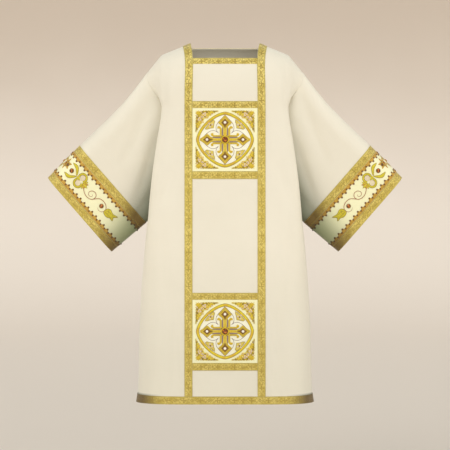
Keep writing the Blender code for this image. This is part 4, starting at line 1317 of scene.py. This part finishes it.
# The jagged leaf under the heart, one row a point: place, length, width, direction, thread
jaggedLeaf = (
    Leaf(100.0, 0.0, 23.0, 9.0, 0, "leaf"), Leaf(101.0, 1.0, 20.0, 8.5, 34, "gold"),
    Leaf(101.0, -1.0, 20.0, 8.5, -34, "gold"), Leaf(102.0, 2.0, 17.0, 8.0, 68, "leaf"),
    Leaf(102.0, -2.0, 17.0, 8.0, -68, "leaf"), Leaf(104.0, 3.0, 12.0, 7.0, 104, "gold"),
    Leaf(104.0, -3.0, 12.0, 7.0, -104, "gold"),
)


def cuffParts():
    parts = {name: Needlework() for name in
             ("leafwork", "outline", "scroll", "heartPale", "goldLeaf", "stones", "bezels")}
    work = cuffWork
    offset = np.array([work["fold"], work["aside"]])

    def laid(line, flip=1):
        return np.asarray(line, float) * (1, flip) + offset

    def bezelled(spot, radius, height):
        parts["stones"].petal(roundLine(spot, radius, 10), height, 0.4, spot, gemRings)
        parts["bezels"].cord(roundLine(spot, radius + 0.8, 24), 2.0, 2.0, 0.0, closed=True)

    for spot in work["stones"]:
        bezelled(laid([spot])[0], work["stoneRadius"], work["stoneHeight"])
    for flip in (1, -1):
        angles = np.radians(np.linspace(*work["lobeTurn"], 33))
        circle = np.column_stack([np.cos(angles), np.sin(angles)])
        centre = np.array(work["lobe"])
        lobe = laid(centre + work["lobeRadius"] * circle, flip)
        width = work["lobeWidth"] * np.linspace(0.75, 1.0, len(lobe))
        parts["leafwork"].cord(lobe, width, 2.0, 0.3)
        for reach in (-0.5, 0.5):
            edge = laid(centre + (work["lobeRadius"] + reach * work["lobeWidth"]) * circle, flip)
            parts["outline"].cord(edge, 1.8, 1.2, 0.3)
        spot = laid([centre], flip)[0]
        parts["heartPale"].petal(roundLine(spot, 11.2, 20), 0.8, 0.0, spot)
        leaf = laid(smoothLine(work["upperLeaf"], 4, closed=True), flip)
        parts["leafwork"].petal(leaf, 1.7, 0.0, laid([(44, 21.5)], flip)[0], leafRings, 140 * flip)
        parts["outline"].cord(leaf, 1.8, 1.1, 0.2, closed=True)
    drop = laid(leafShape((66, 0), 20, 9, 0))
    parts["leafwork"].petal(drop, 2.2, 0.6)
    for leaf in jaggedLeaf:
        shape = laid(leafShape((leaf.x, leaf.y), leaf.length, leaf.width, leaf.degrees, 2))
        name = "goldLeaf" if leaf.thread == "gold" else "leafwork"
        parts[name].petal(shape, 1.9, 0.4, None, leafRings, leaf.degrees)
        parts["outline"].cord(shape, 1.0, 0.9, 0.3, closed=True)
    for name in ("scroll", "stem"):
        parts["scroll"].cord(laid(smoothLine(work[name], 8)), 2.3, 1.5, 0.1, taper=True)
    bud = laid(smoothLine(work["bud"], 4, closed=True))
    parts["leafwork"].petal(bud, 2.0, 0.0, laid([(238, 1.5)])[0], leafRings)
    parts["outline"].cord(bud, 2.0, 1.1, 0.2, closed=True)
    for vein in budVeins:
        parts["outline"].cord(laid(smoothLine(vein, 6)), 1.7, 1.0, 1.6, taper=True)
    return parts


# A toothed gold border at each edge of the band, all round, with a bead on every point
def toothBorder(hand):
    work = cuffWork
    ring = sleeves[hand].points[cuffRow + sleeveCut["braidCells"] + sleeveCut["bandCells"] // 2]
    around = 1000 * np.linalg.norm(np.diff(np.vstack([ring, ring[:1]]), axis=0), axis=1).sum()
    teeth = round(around / work["toothPitch"])
    pitch = around / teeth
    border, beads = Needlework(), Needlework()
    shares = np.array([0.0, 0.16, 0.42, 0.58, 0.84])
    reach = np.array([0.0, 0.35, 1.0, 1.0, 0.35])
    across = np.concatenate([(n + shares) * pitch for n in range(teeth)])
    tips = work["toothBase"] + (work["toothTip"] - work["toothBase"]) * np.tile(reach, teeth)
    for edge in (1, -1):
        outer = np.column_stack([across, np.full_like(across, edge * work["bandHalf"])])
        inner = np.column_stack([across, edge * tips])
        left, right = (outer, inner) if edge > 0 else (inner, outer)
        border.band(left, right, 1.3, 0.0, flatProfile, closed=True)
        for n in range(teeth):
            for share, out in ((0.5, work["toothTip"] + 0.6), (0.0, work["toothBase"] + 0.8)):
                spot = ((n + share) * pitch, edge * out)
                beads.petal(roundLine(spot, work["dotRadius"], 10), 2.4, 0.6, spot, domeRings)
    return border, beads


# A blossom over the top fold, the same to the front and to the back, with a stone on the fold itself
def foldOrnament():
    gold, leaves, stones = Needlework(), Needlework(), Needlework()
    middle = np.array([0.0, cuffWork["aside"]])
    stones.petal(roundLine(middle, 5.6, 10), 3.6, 1.0, middle, gemRings)
    gold.cord(roundLine(middle, 6.6, 24), 2.4, 1.8, 0.4, closed=True)
    for way in (1, -1):
        spot = middle + (way * 52.0, -3.0)
        gold.petal(blossomShape(spot, 12.5, 6, 0.20), 1.7, 0.2, spot)
        for across in (1, -1):
            for place, aside, length, degrees in ((45, 5, 21.0, 82), (56, 4, 16.0, 28), (38, 4, 15.0, 120)):
                shape = leafShape((place, aside), length, 8.5, degrees) * (way, across) + middle - (0, 3.0)
                gold.petal(shape, 1.6, 0.1)
            dot = middle + (way * 50.5, across * 8.6 - 3.0)
            leaves.petal(roundLine(dot, 2.6, 10), 1.8, 1.7, dot, domeRings)
            for place, length, degrees in ((6.0, 26.0, 62), (16.0, 19.0, 48)):
                shape = leafShape((place, 8.0), length, 8.0, degrees) * (way, across) + middle
                leaves.petal(shape, 1.5, 0.1)
        for place, radius in ((44.0, 4.2), (58.0, 4.8)):
            dot = middle + (way * place, -3.0)
            stones.petal(roundLine(dot, radius, 10), 2.6, 1.8, dot, gemRings)
            leaves.cord(roundLine(dot, radius + 0.6, 18), 1.5, 1.4, 1.7, closed=True)
    return gold, leaves, stones


cuffFinishes = {
    "leafwork": threads["leaf"], "outline": threads["ochre"], "scroll": threads["red"],
    "heartPale": threads["paleRose"], "goldLeaf": threads["orange"], "stones": garnet,
    "bezels": threads["brown"],
}
cuffParted = cuffParts()
for hand in sleeves:
    for side in ("front", "back"):
        ground = cuffGround(hand, side)
        label = f"{hand.title()}{side.title()}"
        for name, work in cuffParted.items():
            nodes = [f"cuff_stone_{hand}_{side}_{n}" for n in (1, 2)] if name == "stones" else ()
            slotName = "garnet_glass" if name == "stones" else "gold_embroidery"
            work.sew(f"{name}{label}", ground, cuffFinishes[name], slotName, nodes, 12 if nodes else 60)
    ground = cuffGround(hand, "front")
    border, beads = toothBorder(hand)
    border.sew(f"toothBorder{hand.title()}", ground, threads["orange"], "gold_embroidery")
    beads.sew(f"toothBeads{hand.title()}", ground, threads["bead"], "gold_embroidery")
    gold, leaves, stones = foldOrnament()
    gold.sew(f"foldBlossom{hand.title()}", ground, threads["orange"], "gold_embroidery")
    leaves.sew(f"foldLeaves{hand.title()}", ground, threads["ochre"], "gold_embroidery")
    stones.sew(f"foldStone{hand.title()}", ground, garnet, "garnet_glass", (), 12)
print("cuffs sewn")


stitchSettings = {"pitch": 0.0042, "length": 0.0030, "width": 0.0008, "height": 0.0005, "inset": 0.0024}


# Small stitches that hold each braid down, a row beside each edge
def addStitches():
    look = stitchSettings
    points, faces, flat = [], [], []
    for skin, lengthwise in braidStrips:
        spots, lift = skin.points, skin.lift
        if lengthwise == "rows":
            spots, lift = spots.swapaxes(0, 1), lift.swapaxes(0, 1)
        if skin.closed:
            spots, lift = (np.concatenate([values, values[:, :1]], axis=1) for values in (spots, lift))
        for edge, inwards in ((0, 1), (-1, -2)):
            step = spots[inwards] - spots[edge]
            share = look["inset"] / np.linalg.norm(step, axis=1, keepdims=True)
            line = spots[edge] + step * share + lift[edge] * (gap + trimSettings["braidThick"])
            along = np.concatenate([[0], np.cumsum(np.linalg.norm(np.diff(line, axis=0), axis=1))])
            middles = np.arange(look["pitch"] / 2, along[-1], look["pitch"])

            def at(distance, values):
                return np.column_stack([np.interp(distance, along, values[:, k]) for k in range(3)])

            out = at(middles, lift[edge])
            run = at(middles + look["length"] / 2, line) - at(middles - look["length"] / 2, line)
            run /= np.maximum(np.linalg.norm(run, axis=1, keepdims=True), 1e-9)
            side = np.cross(out, run)
            middle = at(middles, line)
            half = run * look["length"] / 2
            corners = [middle - half, middle - side * look["width"] / 2, middle + half,
                       middle + side * look["width"] / 2, middle + out * look["height"]]
            for n in range(len(middles)):
                start = len(points)
                points.extend(corner[n] for corner in corners)
                for a, b in ((0, 1), (1, 2), (2, 3), (3, 0)):
                    faces.append((start + a, start + b, start + 4))
                    flat.extend(((0, 0), (look["length"] / 2, 0), (0, look["width"])))
    piece = addPiece("braidStitches", points, faces, flat, threads["paleGold"])
    print("stitches:", len(points) // 5)


addStitches()


stageSettings = {
    "floorZ": -1.72, "floorRadius": 9.0, "curve": 4.0, "height": 3.5,
    "colour": (0.790, 0.725, 0.655), "upper": (0.535, 0.455, 0.380), "from": -1.2, "to": 1.5,
}


# A pale floor that curves up all round, so that it stands behind the garment from every side
def addStage():
    look = stageSettings
    profile = [(3.0, look["floorZ"]), (6.0, look["floorZ"])]
    for angle in np.linspace(0, math.pi / 2, 17):
        profile.append((look["floorRadius"] + look["curve"] * math.sin(angle),
                        look["floorZ"] + look["curve"] * (1 - math.cos(angle))))
    profile.append((look["floorRadius"] + look["curve"], look["floorZ"] + look["curve"] + look["height"]))
    turns = np.radians(np.arange(0, 360, 5))
    points = [(r * math.cos(a), r * math.sin(a), z) for r, z in profile for a in turns]
    count = len(turns)
    faces = [list(range(count))]
    for n in range(len(profile) - 1):
        for k in range(count):
            a, b = n * count + k, n * count + (k + 1) % count
            faces.append((a, a + count, b + count, b))
    mesh = bpy.data.meshes.new("studioFloor")
    mesh.from_pydata(points, [], faces)
    mesh.shade_smooth()
    paper = Finish("studioPaper", {"Roughness": 0.9, "Specular IOR Level": 0.1})
    place = paper.node("ShaderNodeTexCoord", None, None, 3)
    height = paper.node("ShaderNodeSeparateXYZ", None, {0: place}, 2)
    grain = paper.noise(place, 1.2)
    # painted shade: the backdrop darkens from the pale floor colour to brown higher up, with noise blotches
    # in the change
    up = (height + grain * 0.3).rise(look["from"], look["to"])
    paper.paint("Base Color", paper.mix(up, look["colour"], look["upper"]))
    mesh.materials.append(paper.material)
    floor = bpy.data.objects.new("studioFloor", mesh)
    floor.visible_shadow = False
    bpy.context.scene.collection.objects.link(floor)


# Soft lights from far off: where each stands, seen from the garment, and how wide and strong it is
Lamp = namedtuple("Lamp", "name azimuth elevation spread strength colour")
lamps = (
    Lamp("key", -20, 34, 30, 0.98, (1.0, 0.99, 0.965)),
    Lamp("fill", 26, 14, 50, 0.72, (1.0, 0.995, 0.98)),
    Lamp("leftSide", -72, 18, 50, 0.82, (1.0, 0.995, 0.98)),
    Lamp("rightSide", 72, 18, 50, 0.82, (1.0, 0.995, 0.98)),
    Lamp("behind", 180, 8, 60, 1.00, (1.0, 0.99, 0.97)),
)
airSettings = {"colour": (0.94, 0.97, 0.92), "strength": 0.42}


def addLights():
    for lamp in lamps:
        light = bpy.data.lights.new(f"{lamp.name}Light", "SUN")
        light.energy = lamp.strength
        light.angle = math.radians(lamp.spread)
        light.color = lamp.colour
        turn, rise = math.radians(lamp.azimuth), math.radians(lamp.elevation)
        level = math.cos(rise)
        place = Vector((math.sin(turn) * level, -math.cos(turn) * level, math.sin(rise))) * 5
        made = bpy.data.objects.new(f"{lamp.name}Light", light)
        made.location = place
        made.rotation_euler = (-place).to_track_quat("-Z", "Y").to_euler()
        bpy.context.scene.collection.objects.link(made)
    world = bpy.data.worlds.new("studioAir")
    world.use_nodes = True
    air = world.node_tree.nodes["Background"]
    air.inputs["Color"].default_value = (*airSettings["colour"], 1)
    air.inputs["Strength"].default_value = airSettings["strength"]
    bpy.context.scene.world = world
    bpy.context.scene.view_settings.view_transform = "Standard"


cameraSettings = {"place": (0, -7.0, -0.45), "aim": (0, 0, -0.63), "lens": 160}


def addCamera():
    look = cameraSettings
    data = bpy.data.cameras.new("camera")
    data.lens = look["lens"]
    data.sensor_width = 36
    camera = bpy.data.objects.new("camera", data)
    camera.location = look["place"]
    camera.rotation_euler = (Vector(look["aim"]) - Vector(look["place"])).to_track_quat("-Z", "Y").to_euler()
    bpy.context.scene.collection.objects.link(camera)
    bpy.context.scene.camera = camera


addStage()
addLights()
addCamera()
print("studio set")
